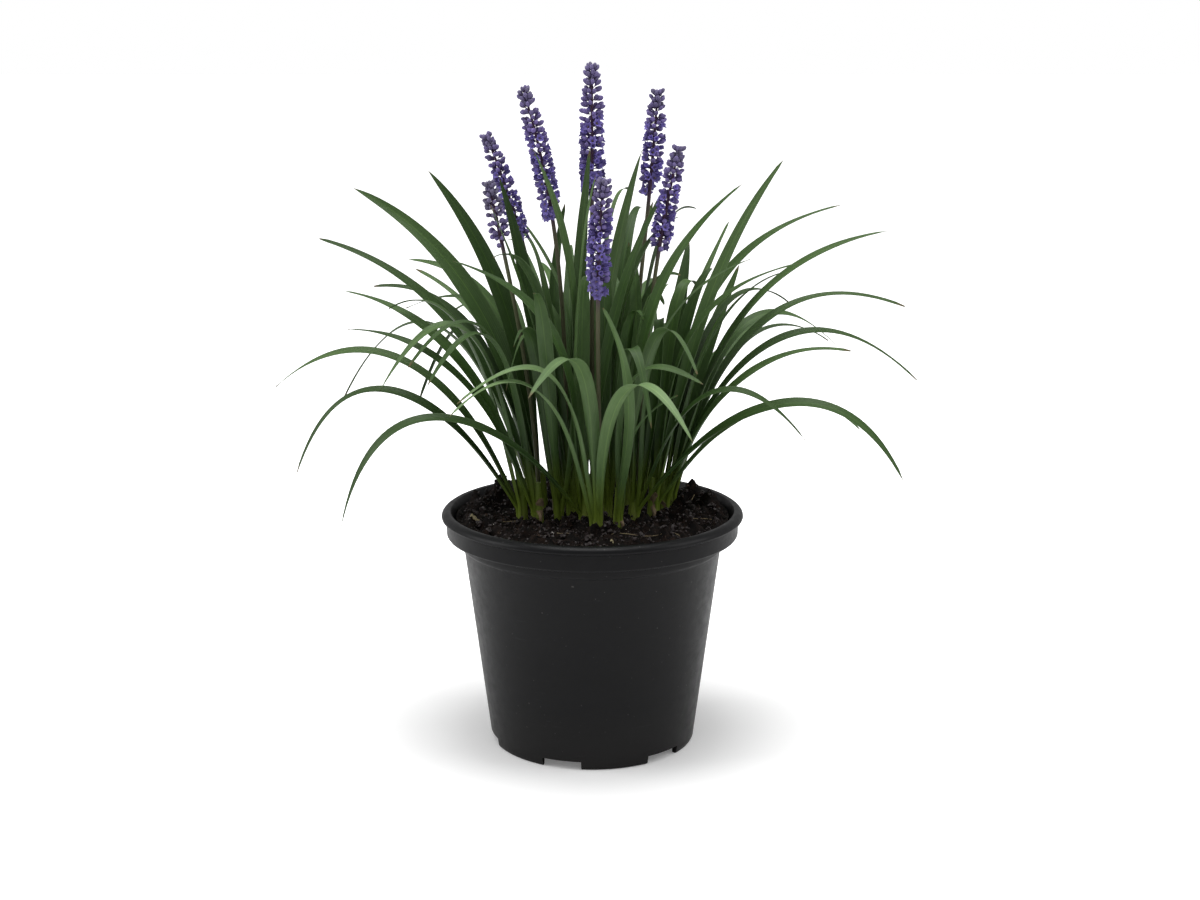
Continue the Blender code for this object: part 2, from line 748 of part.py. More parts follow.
def bud(base, direction, side, length, width):
    """A closed flower bud: three sides that widen from its foot, then close at its tip."""
    across = direction.cross(side).normalized()
    waist = base + direction * (length * BUD_WAIST)
    points = [base, base + direction * length]
    for index in range(3):
        turn = 2.0 * math.pi * index / 3.0
        points.append(waist + (across * math.cos(turn) + side * math.sin(turn)) * width / 2.0)
    faces = []
    for index in range(3):
        after = (index + 1) % 3
        faces.append((0, 2 + after, 2 + index))
        faces.append((1, 2 + index, 2 + after))
    return points, faces


def make_spike(spike):
    """A flower spike: the stalk, and the head with its whorls of buds."""
    points, faces = spike.tube(0.0, spike.head_start, STALK_RADIUS, RACHIS_RADIUS,
                               STALK_SIDES, STALK_STEPS)
    smooth(add_object("stalk_" + spike.label, points, faces, "stalk"), 60)
    gap_share = GAP / spike.length
    rachis_end = 1.0 - RACHIS_SHORT * (1.0 - spike.head_start)
    points, faces = spike.tube(spike.head_start + gap_share, rachis_end, RACHIS_RADIUS,
                               RACHIS_RADIUS * RACHIS_TAPER, STALK_SIDES, RACHIS_STEPS)
    head = add_object("head_" + spike.label, points, faces, "violet")
    length = (1.0 - spike.head_start) * spike.length
    whorls = int(length / WHORL_SPACING)
    pieces = []
    ahead, side, _ = spike.frame(rachis_end)
    points, faces = bud(spike.at(rachis_end) - ahead * TOP_BUD * TOP_BUD_SUNK, ahead, side,
                        TOP_BUD, TOP_BUD * TOP_BUD_WIDTH)
    pieces.append(add_object("bud", points, faces, "violet"))
    for whorl in range(whorls):
        part = (whorl + WHORL_START) / whorls
        share = spike.head_start + (1.0 - spike.head_start) * part
        ahead, side, face = spike.frame(share)
        centre = spike.at(share)
        lift = BUD_LIFT + BUD_LIFT_MORE * part
        reach = spike.reach(part)
        count = BUDS_PER_WHORL if part < TOP_WHORLS else BUDS_PER_WHORL - 1
        for index in range(count):
            turn = 2.0 * math.pi * (index + 0.5 * (whorl % 2)) / count + WHORL_TURN * whorl
            out = side * math.cos(turn) + face * math.sin(turn)
            direction = (out + ahead * lift).normalized()
            round_side = ahead.cross(out).normalized()
            bud_length = reach * math.sqrt(1.0 + lift * lift)
            width = BUD_WIDTH * (1.0 - BUD_NARROW * part)
            points, faces = bud(centre + out * BUD_ROOT, direction, round_side,
                                bud_length, width)
            pieces.append(add_object("bud", points, faces, "violet"))
    combine(head, pieces, "UNION")
    keep_body(head)


def main():
    """Builds the pot, the soil, the shoots and the flower spikes."""
    clear_scene()
    make_pot()
    blades, counts = named_blades()
    blades += fan_blades(counts)
    spikes = [Spike(label, *values) for label, values in SPIKES.items()]
    part_blades(spikes + blades)
    holes = [(x * MM, y * MM, SHEATH_RADIUS + HOLE_PLAY, SHEATH_SIDES)
             for x, y, _ in SHOOTS.values()]
    for spike in spikes:
        foot = spike.at(STALK_HOLE_SHARE)
        holes.append((foot.x, foot.y, STALK_RADIUS + STALK_PLAY, SHEATH_SIDES))
    make_soil(holes)
    for node in SHOOTS:
        make_shoot(node, [blade for blade in blades if blade.node == node])
    for spike in spikes:
        make_spike(spike)


main()
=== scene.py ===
"""Liriope in its nursery pot: the finished surfaces over the solid frame.

Units are metres and +Z is up. The frame's origin is the middle of the pot's
underside, and the photograph's camera stands on the -Y side.
"""
import math
import random

import bpy
import numpy as np
from mathutils import Matrix, Vector, noise
from mathutils.bvhtree import BVHTree


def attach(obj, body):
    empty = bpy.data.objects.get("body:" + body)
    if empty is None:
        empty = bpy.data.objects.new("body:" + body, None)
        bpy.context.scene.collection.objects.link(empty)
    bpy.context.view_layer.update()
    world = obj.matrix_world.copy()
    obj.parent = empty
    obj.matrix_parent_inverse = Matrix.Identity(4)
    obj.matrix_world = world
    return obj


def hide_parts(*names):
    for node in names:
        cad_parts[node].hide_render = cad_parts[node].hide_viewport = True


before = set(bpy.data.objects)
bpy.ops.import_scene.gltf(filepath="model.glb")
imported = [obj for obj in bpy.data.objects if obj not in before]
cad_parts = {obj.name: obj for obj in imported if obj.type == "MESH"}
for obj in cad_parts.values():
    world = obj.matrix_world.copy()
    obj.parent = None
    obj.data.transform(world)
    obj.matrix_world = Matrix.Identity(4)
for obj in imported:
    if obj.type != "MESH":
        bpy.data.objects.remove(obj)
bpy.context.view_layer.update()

bl_info = {
    "name": "Liriope in a nursery pot",
    "version": (1, 0, 0),
    "blender": (4, 5, 0),
    "location": "3D View > Sidebar > Liriope",
    "description": "Lilyturf with arching leaves and violet flower spikes, in a black pot",
    "category": "Object",
}

MM = 0.001
UP = Vector((0.0, 0.0, 1.0))
GAP = 0.0003

# Pot, a 190 mm wide and 150 mm high moulded nursery pot
POT_HEIGHT = 0.150
LIP_RADIUS = 0.095
LIP_DROP = 0.0035
RIM_RADIUS = 0.0905
COLLAR_RADIUS = 0.0918
COLLAR_BOTTOM = 0.1345
NECK_RADIUS = 0.0834
STEP_HEIGHT = 0.1270
STEP_RADIUS = 0.0812
BASE_RADIUS = 0.0653
HEEL = 0.003
WALL = 0.0018
FOOT_WIDTH = 0.0028
FLOOR_UNDER = 0.0062
FLOOR_THICK = 0.0020
NOTCHES = 6
NOTCH_HEIGHT = 0.0054
NOTCH_WIDTH = 0.0250
NOTCH_DEPTH = 0.014
NOTCH_TURN = math.radians(13.0)
DRAIN_RADIUS = 0.0055
DRAIN_CIRCLE = 0.0520
STEP_RISE = 0.0018
COLLAR_FLARE = 0.0004
EDGE = 0.0012
EDGE_IN = 0.0010

# Soil, filled to a few millimetres under the lip
SOIL_LEVEL = 0.1435
SOIL_MOUND = 0.0035
SOIL_BUMP = 0.0011
HOLE_FLOOR = 0.1150

# Leafy shoots: a short sheath in the soil that the blades grow out of
SHEATH_RADIUS = 0.0042
SHEATH_TOP = 0.1640
BLADE_ROOT = 0.1500
BLADE_ROOT_STEP = 0.0008
BLADE_ROOT_OFFSET = 0.0011
BLADE_TURN = math.radians(137.5)
BLADE_THICK = 0.0011
BLADE_THIN = 0.62
BLADE_CLEAR = 0.0010
ROOT_WIDTH = 0.66
FULL_SHARE = 0.45
TIP_SHARE = 0.38
TIP_POWER = 0.6
LEAST_HALF = 0.0004
LOWEST_BEND = 0.35
HIGHEST_BEND = 0.65
ARCH_ANGLE = math.radians(65.0)
STEEP_TWIST = 55.0
BLADE_STEPS = 6
ARCH_STEPS = 9
RISE = 0.62
TUFT_TOP = 0.200
BACK_REACH = 0.119
PART_ROUNDS = 90
PART_STEP = 0.0009
PART_ACROSS = 0.3
PART_UP = 0.1
CURVE_STEPS = 40

# How far a fan's blade may stray from an even fan, and how it arches over
FAN_STRAY = 8.0
FAN_BEND = (0.42, 0.52)
FAN_DROP = (-0.035, -0.015)
FAN_WIDTH = (7.5, 10.0)
FAN_TWIST = 30.0
ARCH_BELOW = 0.300
ARCH_RISE = 0.75

# Flower spikes
STALK_RADIUS = 0.0015
RACHIS_RADIUS = 0.0014
HEAD_TAPER = 0.50
HEAD_POWER = 7.0
RACHIS_SHORT = 0.02

# Where each shoot stands in the soil, in millimetres, with its leaf colour, which also sets how much
# painted light its leaves get
SHOOTS = {
    "shoot_01": (-44, 1, "mid"),
    "shoot_02": (-34, -8, "deep"),
    "shoot_03": (-21, -3, "mid"),
    "shoot_04": (-4, -13, "deep"),
    "shoot_05": (3, -27, "pale"),
    "shoot_06": (16, -21, "mid"),
    "shoot_07": (26, -4, "deep"),
    "shoot_08": (38, 6, "mid"),
    "shoot_09": (45, 18, "deep"),
    "shoot_10": (51, 30, "mid"),
    "shoot_11": (-8, 24, "mid"),
    "shoot_12": (-32, 21, "deep"),
    "shoot_13": (-17, 42, "mid"),
    "shoot_14": (8, 47, "deep"),
    "shoot_15": (31, 42, "mid"),
    "shoot_16": (9, 8, "deep"),
    "shoot_17": (-12, 5, "mid"),
    "shoot_18": (22, 27, "deep"),
    "shoot_19": (-38, 37, "mid"),
}

# The leaves that the front view tells apart: shoot, the point where the blade
# bends over, its tip, its width, all in millimetres, and its twist in degrees
LEAVES = [
    ("shoot_01", (-117, 2, 222), (-187, 6, 170), 7.5, 25),
    ("shoot_01", (-112, 12, 238), (-200, 18, 224), 7.5, 25),
    ("shoot_02", (-87, 6, 253), (-154, 12, 286), 8.0, 30),
    ("shoot_02", (-92, 16, 270), (-169, 30, 317), 9.0, 30),
    ("shoot_02", (-80, -12, 238), (-147, -16, 265), 7.0, 25),
    ("shoot_12", (-76, 32, 279), (-151, 50, 346), 13.0, 60),
    ("shoot_12", (-55, 24, 275), (-102, 26, 359), 12.0, 65),
    ("shoot_04", (-74, -38, 212), (-152, -48, 149), 8.0, 25),
    ("shoot_04", (-24, -22, 268), (-83, -22, 309), 8.5, 35),
    ("shoot_13", (-62, 50, 268), (-120, 66, 267), 6.0, 20),
    ("shoot_12", (-60, 50, 242), (-114, 84, 291), 6.0, 20),
    ("shoot_12", (-62, 36, 237), (-101, 62, 274), 6.0, 20),
    ("shoot_05", (-28, -40, 244), (-79, -62, 229), 8.0, 20),
    ("shoot_05", (-37, -46, 236), (-82, -80, 225), 6.5, 10),
    ("shoot_05", (-8, -62, 252), (-35, -119, 243), 10.5, 0),
    ("shoot_05", (26, -62, 238), (59, -119, 218), 10.5, 0),
    ("shoot_06", (29, -45, 243), (65, -70, 242), 9.0, -20),
    ("shoot_06", (24, -36, 206), (50, -48, 231), 7.0, -20),
    ("shoot_06", (19, -48, 224), (5, -66, 286), 7.5, 20),
    ("shoot_07", (40, -22, 262), (93, -44, 312), 7.0, -20),
    ("shoot_03", (-18, -20, 254), (1, -23, 358), 9.0, -50),
    ("shoot_17", (-32, -8, 258), (-60, -29, 342), 8.0, 40),
    ("shoot_17", (-28, 4, 264), (-55, -4, 356), 12.0, 65),
    ("shoot_17", (-10, -6, 282), (-34, -15, 374), 11.0, 65),
    ("shoot_13", (-14, 34, 264), (-43, 34, 327), 6.0, 40),
    ("shoot_11", (-6, 4, 281), (1, -13, 375), 9.0, 0),
    ("shoot_11", (-19, 34, 258), (-17, 46, 336), 8.0, 30),
    ("shoot_11", (7, 18, 279), (30, 6, 372), 12.0, -65),
    ("shoot_04", (12, -12, 274), (46, 4, 348), 7.0, -40),
    ("shoot_16", (22, 10, 261), (42, 30, 340), 8.0, -50),
    ("shoot_16", (19, 20, 241), (24, 36, 313), 11.0, -30),
    ("shoot_07", (38, -14, 280), (90, -18, 354), 9.0, -50),
    ("shoot_08", (67, 8, 277), (116, 8, 366), 9.0, -50),
    ("shoot_08", (50, 22, 250), (63, 50, 313), 12.0, -30),
    ("shoot_15", (57, 60, 254), (89, 84, 323), 6.0, -20),
    ("shoot_09", (77, 20, 286), (155, 22, 338), 7.5, -35),
    ("shoot_10", (95, 14, 272), (180, 4, 324), 8.0, -30),
    ("shoot_08", (66, -8, 270), (126, -14, 306), 6.5, -30),
    ("shoot_10", (73, 34, 244), (94, 50, 297), 10.0, -50),
    ("shoot_15", (79, 68, 231), (125, 94, 262), 9.0, -30),
    ("shoot_10", (102, 36, 257), (199, 40, 272), 7.5, -25),
    ("shoot_09", (103, 22, 245), (204, 12, 229), 7.5, -25),
    ("shoot_09", (91, 10, 229), (159, -6, 251), 8.0, -25),
    ("shoot_08", (101, 12, 210), (170, 20, 196), 6.5, -25),
    ("shoot_07", (105, -32, 220), (185, -58, 181), 8.5, -30),
    ("shoot_07", (73, -28, 229), (129, -42, 203), 6.5, -25),
]

# The leaves of the back and the middle: shoot, how many, the heading of the
# fan in degrees from +X, its spread, and the reach and tip height ranges in mm
FANS = [
    ("shoot_13", 4, 112, 60, (70, 105), (215, 310)),
    ("shoot_14", 5, 90, 80, (55, 72), (225, 330)),
    ("shoot_15", 3, 62, 50, (60, 85), (215, 300)),
    ("shoot_19", 5, 145, 75, (70, 125), (190, 300)),
    ("shoot_18", 4, 70, 90, (50, 85), (270, 335)),
    ("shoot_10", 2, 25, 30, (85, 120), (205, 260)),
    ("shoot_12", 2, 165, 40, (80, 120), (230, 300)),
    ("shoot_01", 2, 185, 40, (60, 110), (225, 290)),
    ("shoot_02", 2, 215, 40, (50, 95), (200, 280)),
    ("shoot_03", 3, 235, 70, (30, 65), (230, 300)),
    ("shoot_16", 4, 330, 150, (20, 55), (250, 330)),
    ("shoot_17", 2, 180, 90, (35, 60), (270, 330)),
    ("shoot_06", 2, 300, 50, (50, 80), (215, 280)),
    ("shoot_09", 2, 0, 40, (70, 110), (240, 300)),
    ("shoot_04", 1, 80, 40, (14, 34), (245, 315)),
    ("shoot_11", 3, 90, 160, (20, 45), (270, 345)),
    ("shoot_07", 3, 60, 90, (18, 45), (240, 315)),
    ("shoot_08", 2, 40, 60, (30, 60), (240, 310)),
]

# Spikes: where the stalk stands, a point half way up, the tip, all in
# millimetres, the length of the flower head and its radius
SPIKES = {
    "1": ((0, 2), (0, 3, 287), (0, 3, 421), 76, 8.2),
    "2": ((6, -14), (4, -28, 224), (7, -46, 356), 72, 7.4),
    "3": ((-17, 15), (-19, 7, 281), (-41, 0, 408), 77, 7.2),
    "4": ((19, 17), (29, 19, 279), (40, 21, 406), 61, 7.2),
    "5": ((29, 14), (36, 4, 275), (52, -8, 374), 60, 7.0),
    "6": ((-24, 11), (-34, 14, 273), (-65, 16, 381), 66, 6.4),
    "7": ((-33, 8), (-45, 0, 263), (-62, -13, 354), 38, 6.0),
}

# Roots that lie on the soil: five places in millimetres, and the root's radius
ROOTS = [
    ((52, -6), (56, -13), (62, -18), (68, -20), (74, -19), 0.55),
    ((-30, -32), (-24, -39), (-19, -45), (-15, -53), (-13, -60), 0.30),
    ((12, -40), (19, -47), (27, -51), (35, -54), (42, -57), 0.32),
    ((42, -34), (45, -42), (49, -48), (54, -53), (58, -60), 0.28),
    ((-64, -12), (-58, -16), (-52, -17), (-46, -15), (-41, -18), 0.30),
    ((-20, 60), (-8, 65), (4, 63), (14, 67), (22, 69), 0.40),
    ((60, 20), (66, 28), (70, 38), (66, 46), (68, 52), 0.35),
]

# Heaps of soil: place, radius and height in millimetres
HEAPS = [
    (-62, 40, 15, 7.0),
    (-74, 18, 10, 4.5),
    (64, 38, 14, 7.0),
    (76, 22, 11, 5.5),
    (10, 72, 16, 4.0),
    (-30, -50, 14, 2.5),
    (38, -48, 12, 3.0),
    (60, -14, 13, 2.5),
]

# Bits that the photograph shows apart: place and length in millimetres
WHITE_GRIT = [(-24, -52, 2.6), (-31, -57, 1.5), (-28, -67, 1.4), (-18, -70, 1.6), (-6, -72, 1.1),
              (10, -52, 1.3), (37, -60, 1.2), (59, -56, 3.0), (70, -42, 1.3), (-60, -40, 1.2)]
PALE_CURLS = [(13, -66, 4.6, 40), (9, -48, 4.0, -20), (-72, -22, 8.0, 10)]

# The soil's loose top: its rise towards the rim, and its lumps and grains as
# height, waves to a metre and middle level
RIM_RISE = 0.0042
RIM_RISE_FROM = 0.050
RIM_RISE_OVER = 0.020
HEAP_SHARE = 1.5
SOIL_LUMPS = (0.0066, 125.0, 3, 0.42)
SOIL_GRAINS = (0.0016, 420.0, 2, 0.45)
SOIL_FINE_RINGS = 72
SOIL_FINE_SIDES = 240
SOIL_EDGE = 0.004

# Loose bits as lowest and highest size, squash and depth in the soil
CRUMB_SIZES = (0.0008, 0.0034)
CLOD_SIZES = (0.0026, 0.0068)
GRIT_SIZES = (0.0005, 0.0012)
BARK_SIZES = (0.0020, 0.0065)
LUMP_SQUASH = (0.6, 1.0)
BARK_SQUASH = (0.18, 0.45)
CRUMBS_PER_CLOD = 12
GRIT_COUNT = 40
BARK_COUNT = 55
LUMPS_PER_JOIN = 400

# Fine dark fibres in the soil
FIBRE_COUNT = 110
FIBRE_REACH = (0.003, 0.011)
FIBRE_RADIUS = 0.00018
FIBRE_TIP = 0.00008
FIBRE_RISE = 0.0045

# A leaf's grid, how it wraps its shoot low down, and how it ends
BLADE_ALONG = 48
BLADE_ACROSS = 6
BELOW_ROOT = 0.06
LEAST_LEAF_HALF = 0.0012
WRAP_END = 0.50
WRAP_ANGLE = 1.25
OPEN_ANGLE = 0.15
NECK_WIDTH = 0.86
NECK_END = 0.6
POINT_START = 0.965
POINT_LEAST = 0.08
LEAF_DEPTH = 0.009
LEAF_TILT = 0.05
WIDTH_WAVE = 0.03
WIDTH_WAVES = 9.0
EDGE_RIPPLE = 0.0004
EDGE_RIPPLES = 14.0
RIB_HEIGHT = 0.00006
FIRST_LAYER = 0.0012
LAYER_SPREAD = 0.0030

# How pale the leaves of each colour are, partly their own colour and partly painted light, and the more
# that front leaves get, which is painted light
PALENESS = {"mid": 0.16, "deep": 0.04, "pale": 0.55}
FRONT_REACH = -0.060
FRONT_PAINTED_LIGHT = 0.14

# Dried sheaths: the shoot, the heading in degrees and the length in millimetres
DRIED_SHEATHS = [
    ("shoot_02", -60, 17), ("shoot_02", 150, 12), ("shoot_03", -100, 14),
    ("shoot_08", -70, 20), ("shoot_09", -110, 16), ("shoot_06", -40, 13),
    ("shoot_19", 120, 18), ("shoot_15", 60, 16), ("shoot_12", 190, 14),
]

# A flower head: its youngest spike, where the open florets end, and its tip's
# rings of buds as number, spread, depth and length
YOUNG_SPIKE = "7"
BLOOM_END = 0.60
BLOOM_SHARE = 0.72
SPARSE_FOOT = 0.12
SPARSE_SHARE = 0.55
BUD_THICK = 0.0078
OPENINGS = (0.42, 0.75, 1.15)
TIP_RINGS = [(7, 0.80, 0.0088, 0.0062), (6, 0.52, 0.0066, 0.0056),
             (4, 0.20, 0.0048, 0.0050)]

# A bud's half widths at its stations, with its stalklet first
BUD_PROFILE = ((0.30, 0.045), (0.42, 0.115), (0.57, 0.185), (0.76, 0.205), (0.91, 0.135),
               (0.97, 0.070))
PETAL_PROFILE = (0.14, 0.31, 0.36, 0.26, 0.04)

# Colours that the materials mix in, as linear red, green and blue
DUST = (0.030, 0.028, 0.026)
SCUFF = (0.045, 0.045, 0.047)
PALE_SPECK = (0.12, 0.115, 0.11)
SOIL_BROWN = (0.018, 0.010, 0.007)
SOIL_FIBRE = (0.060, 0.034, 0.022)
LEAF_SHADED = (0.42, 0.48, 0.34)
LEAF_BRIGHT = (1.18, 1.14, 1.05)
LEAF_STREAK = (1.45, 1.38, 1.30)
# Darker patches on the leaves: painted shadow
LEAF_SHADOW_PATCH = (0.74, 0.80, 0.72)
# A painted highlight along the leaves' midrib
LEAF_MIDRIB_HIGHLIGHT = (1.7, 1.6, 1.4)
# Painted sheen along the leaves' edges
LEAF_EDGE_SHEEN = (0.12, 0.18, 0.08)
# Painted shade on the lower part of each leaf, inside the tuft
LEAF_LOW_SHADE = (0.42, 0.50, 0.34)
LEAF_BLANCHED = (0.30, 0.30, 0.12)
LEAF_DRY = (0.14, 0.105, 0.045)
PAPER_BROWN = (0.150, 0.095, 0.055)
PAPER_PALE = (0.34, 0.27, 0.17)
STALK_OLIVE = (0.085, 0.115, 0.038)
STALK_DUN = (0.125, 0.110, 0.070)
STALK_BROWN = (0.140, 0.105, 0.080)
WINE_LIGHT = (0.095, 0.040, 0.085)
WINE_DARK = (0.060, 0.026, 0.066)
BUD_GREY = (0.150, 0.140, 0.180)
STALKLET = (0.085, 0.050, 0.125)
BUD_VEIN = (0.17, 0.14, 0.37)
PETAL_VEIN = (0.22, 0.19, 0.54)
PEDICEL = (0.105, 0.065, 0.17)
PEDICEL_VEIN = (0.13, 0.08, 0.19)

# Small loose bits: their colour, their darker patches and their roughness
SPECKS = {
    "grit": ((0.55, 0.53, 0.49), (0.33, 0.31, 0.27), 0.8),
    "bark": ((0.050, 0.028, 0.018), (0.022, 0.013, 0.009), 0.8),
    "husk": ((0.36, 0.31, 0.19), (0.20, 0.17, 0.09), 0.8),
    "root": ((0.27, 0.22, 0.13), (0.13, 0.09, 0.055), 0.8),
    "fibre": ((0.045, 0.026, 0.018), (0.018, 0.011, 0.008), 0.8),
    "anther": ((0.50, 0.38, 0.12), (0.34, 0.24, 0.08), 0.6),
}

# The stage: the photograph's camera, the sky's light and the lamps, each with
# its place, target, width and share of the lamp power
CAMERA_PLACE = (0.0048, -1.086, 0.432)
CAMERA_DOWN = 12.71
CAMERA_LENS = 53.3
CAMERA_SENSOR = 36.0
FLOOR_SIZE = 60.0
FLOOR_GREY = 0.92
SKY_LIGHT = 0.42
LAMPS = {
    "left_lamp": ((-1.6, -0.1, 1.0), (0.0, 0.0, 0.20), 1.0, 1.0),
    "right_lamp": ((1.6, -0.2, 1.2), (0.0, 0.0, 0.20), 1.0, 0.7),
    "top_lamp": ((0.0, -0.1, 1.9), (0.0, 0.0, 0.15), 1.2, 2.0),
}

# Names of what the materials read
BLADE_MARK = "blade_mark"
FLORET_MARK = "floret_mark"
STALK_MARK = "stalk_mark"


def settings():
    """The scene's settings for this plant."""
    return bpy.context.scene.liriope


class LiriopeSettings(bpy.types.PropertyGroup):
    """Sizes and colours that a user would change."""

    pot_colour: bpy.props.FloatVectorProperty(
        name="Pot colour", description="Colour of the pot's plastic", subtype="COLOR",
        size=3, min=0.0, max=1.0, default=(0.0040, 0.0040, 0.0046))
    pot_sides: bpy.props.IntProperty(
        name="Pot sides", description="Facets round the pot", default=144, min=24)
    soil_colour: bpy.props.FloatVectorProperty(
        name="Soil colour", description="Colour of the moist soil", subtype="COLOR",
        size=3, min=0.0, max=1.0, default=(0.0036, 0.0028, 0.0024))
    crumb_count: bpy.props.IntProperty(
        name="Crumbs", description="Loose crumbs of soil on the surface",
        default=3200, min=0)
    leaf_colour: bpy.props.FloatVectorProperty(
        name="Leaf colour", description="Colour of the leaves' upper face",
        subtype="COLOR", size=3, min=0.0, max=1.0, default=(0.050, 0.108, 0.027))
    leaf_pale: bpy.props.FloatVectorProperty(
        name="Pale leaf colour", description="Colour of the leaves that catch the light",
        subtype="COLOR", size=3, min=0.0, max=1.0, default=(0.205, 0.320, 0.165))
    leaf_base: bpy.props.FloatVectorProperty(
        name="Leaf base colour", description="Colour of the leaves near the soil",
        subtype="COLOR", size=3, min=0.0, max=1.0, default=(0.150, 0.215, 0.020))
    leaf_fold: bpy.props.FloatProperty(
        name="Leaf fold", description="Depth of the leaf's channel to half its width",
        default=0.24, min=0.0, max=1.0)
    leaf_thickness: bpy.props.FloatProperty(
        name="Leaf thickness", description="Thickness of a leaf at its midrib",
        unit="LENGTH", default=0.00075, min=0.0002)
    floret_colour: bpy.props.FloatVectorProperty(
        name="Floret colour", description="Colour of the open florets", subtype="COLOR",
        size=3, min=0.0, max=1.0, default=(0.205, 0.160, 0.470))
    bud_colour: bpy.props.FloatVectorProperty(
        name="Bud colour", description="Colour of the closed buds", subtype="COLOR",
        size=3, min=0.0, max=1.0, default=(0.180, 0.135, 0.350))
    floret_rows: bpy.props.FloatProperty(
        name="Floret rows", description="Distance between whorls of florets",
        unit="LENGTH", default=0.0038, min=0.001)
    lamp_power: bpy.props.FloatProperty(
        name="Lamp power", description="Power of the main soft lamp", unit="POWER",
        default=10.0, min=0.0)


# Shared steps of modelling

def deselect_all():
    """Leaves nothing selected, so that an operator acts on its own piece alone."""
    if bpy.context.object and bpy.context.object.mode != "OBJECT":
        bpy.ops.object.mode_set(mode="OBJECT")
    bpy.ops.object.select_all(action="DESELECT")


def make_active(piece):
    """Selects one object alone and makes it the active one."""
    deselect_all()
    piece.select_set(True)
    bpy.context.view_layer.objects.active = piece


def named(name):
    """The object that an operator has just added, renamed."""
    piece = bpy.context.object
    piece.name = name
    piece.data.name = name
    return piece


def copy_of(master):
    """A copy of a modelled shape, with its own mesh."""
    piece = master.copy()
    piece.data = master.data.copy()
    bpy.context.scene.collection.objects.link(piece)
    return piece


def coords(mesh):
    """A mesh's points as an array."""
    flat = np.empty(len(mesh.vertices) * 3, np.float32)
    mesh.vertices.foreach_get("co", flat)
    return flat.reshape(-1, 3).astype(float)


def set_coords(mesh, points):
    """Writes an array of points back to a mesh."""
    mesh.vertices.foreach_set("co", np.ascontiguousarray(points, np.float32).ravel())
    mesh.update()


def mark(piece, name, values):
    """Stores three numbers for the materials on every point of a piece."""
    found = piece.data.attributes.get(name)
    attribute = found or piece.data.attributes.new(name, "FLOAT_COLOR", "POINT")
    rows = np.ones((len(piece.data.vertices), 4), np.float32)
    for channel, value in enumerate(values):
        rows[:, channel] = value
    attribute.data.foreach_set("color", rows.ravel())


def join(pieces, name):
    """Joins objects into one, and names it."""
    deselect_all()
    for piece in pieces:
        piece.select_set(True)
    bpy.context.view_layer.objects.active = pieces[0]
    if len(pieces) > 1:
        bpy.ops.object.join()
    return named(name)


def settle(piece):
    """Moves an object's place, turn and size into its mesh."""
    make_active(piece)
    bpy.ops.object.transform_apply(location=True, rotation=True, scale=True)


def apply_step(piece, step):
    """Applies a modifier to its piece."""
    make_active(piece)
    bpy.ops.object.modifier_apply(modifier=step.name)


def shade(piece, angle):
    """Shades a piece smooth, with edges over the angle kept sharp."""
    make_active(piece)
    bpy.ops.object.shade_smooth_by_angle(angle=math.radians(angle))


def close_tube(piece):
    """Merges a rolled sheet's seam, fills its ends and faces it outwards."""
    make_active(piece)
    bpy.ops.object.mode_set(mode="EDIT")
    bpy.ops.mesh.select_all(action="SELECT")
    bpy.ops.mesh.remove_doubles(threshold=1e-5)
    bpy.ops.mesh.select_all(action="DESELECT")
    bpy.ops.mesh.select_mode(type="EDGE")
    bpy.ops.mesh.select_non_manifold()
    bpy.ops.mesh.fill_holes(sides=40)
    bpy.ops.mesh.select_all(action="SELECT")
    bpy.ops.mesh.normals_make_consistent(inside=False)
    bpy.ops.object.mode_set(mode="OBJECT")


def dress(piece, slot, *nodes, material=None):
    """Gives a finished piece its body, its nodes and material; its record slot is not used."""
    if material:
        piece.data.materials.clear()
        piece.data.materials.append(material)
    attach(piece, "root")
    if nodes:
        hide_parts(*nodes)


def remove(*pieces):
    """Takes away masters and cutters."""
    for piece in pieces:
        bpy.data.objects.remove(piece, do_unlink=True)


def ease(value):
    """A smooth step from 0 to 1."""
    value = min(max(value, 0.0), 1.0)
    return value * value * (3.0 - 2.0 * value)


# The leaves' and stalks' curves, as in the solids

def inner_radius(height):
    """The radius of the pot's inside wall at a height."""
    if height > STEP_HEIGHT:
        share = (height - STEP_HEIGHT) / (POT_HEIGHT - STEP_HEIGHT)
        return STEP_RADIUS - WALL + share * (RIM_RADIUS - STEP_RADIUS)
    share = (height - HEEL) / (STEP_HEIGHT - HEEL)
    return BASE_RADIUS - WALL + share * (STEP_RADIUS - BASE_RADIUS)


def soil_height(x, y):
    """The height of the soil's uneven top at a place."""
    radius = math.hypot(x, y) / RIM_RADIUS
    mound = SOIL_MOUND * (1.0 - radius * radius)
    bumps = math.sin(210.0 * x + 1.3) * math.cos(170.0 * y - 0.4)
    bumps += 0.6 * math.sin(390.0 * x - 310.0 * y)
    return SOIL_LEVEL + mound + SOIL_BUMP * bumps


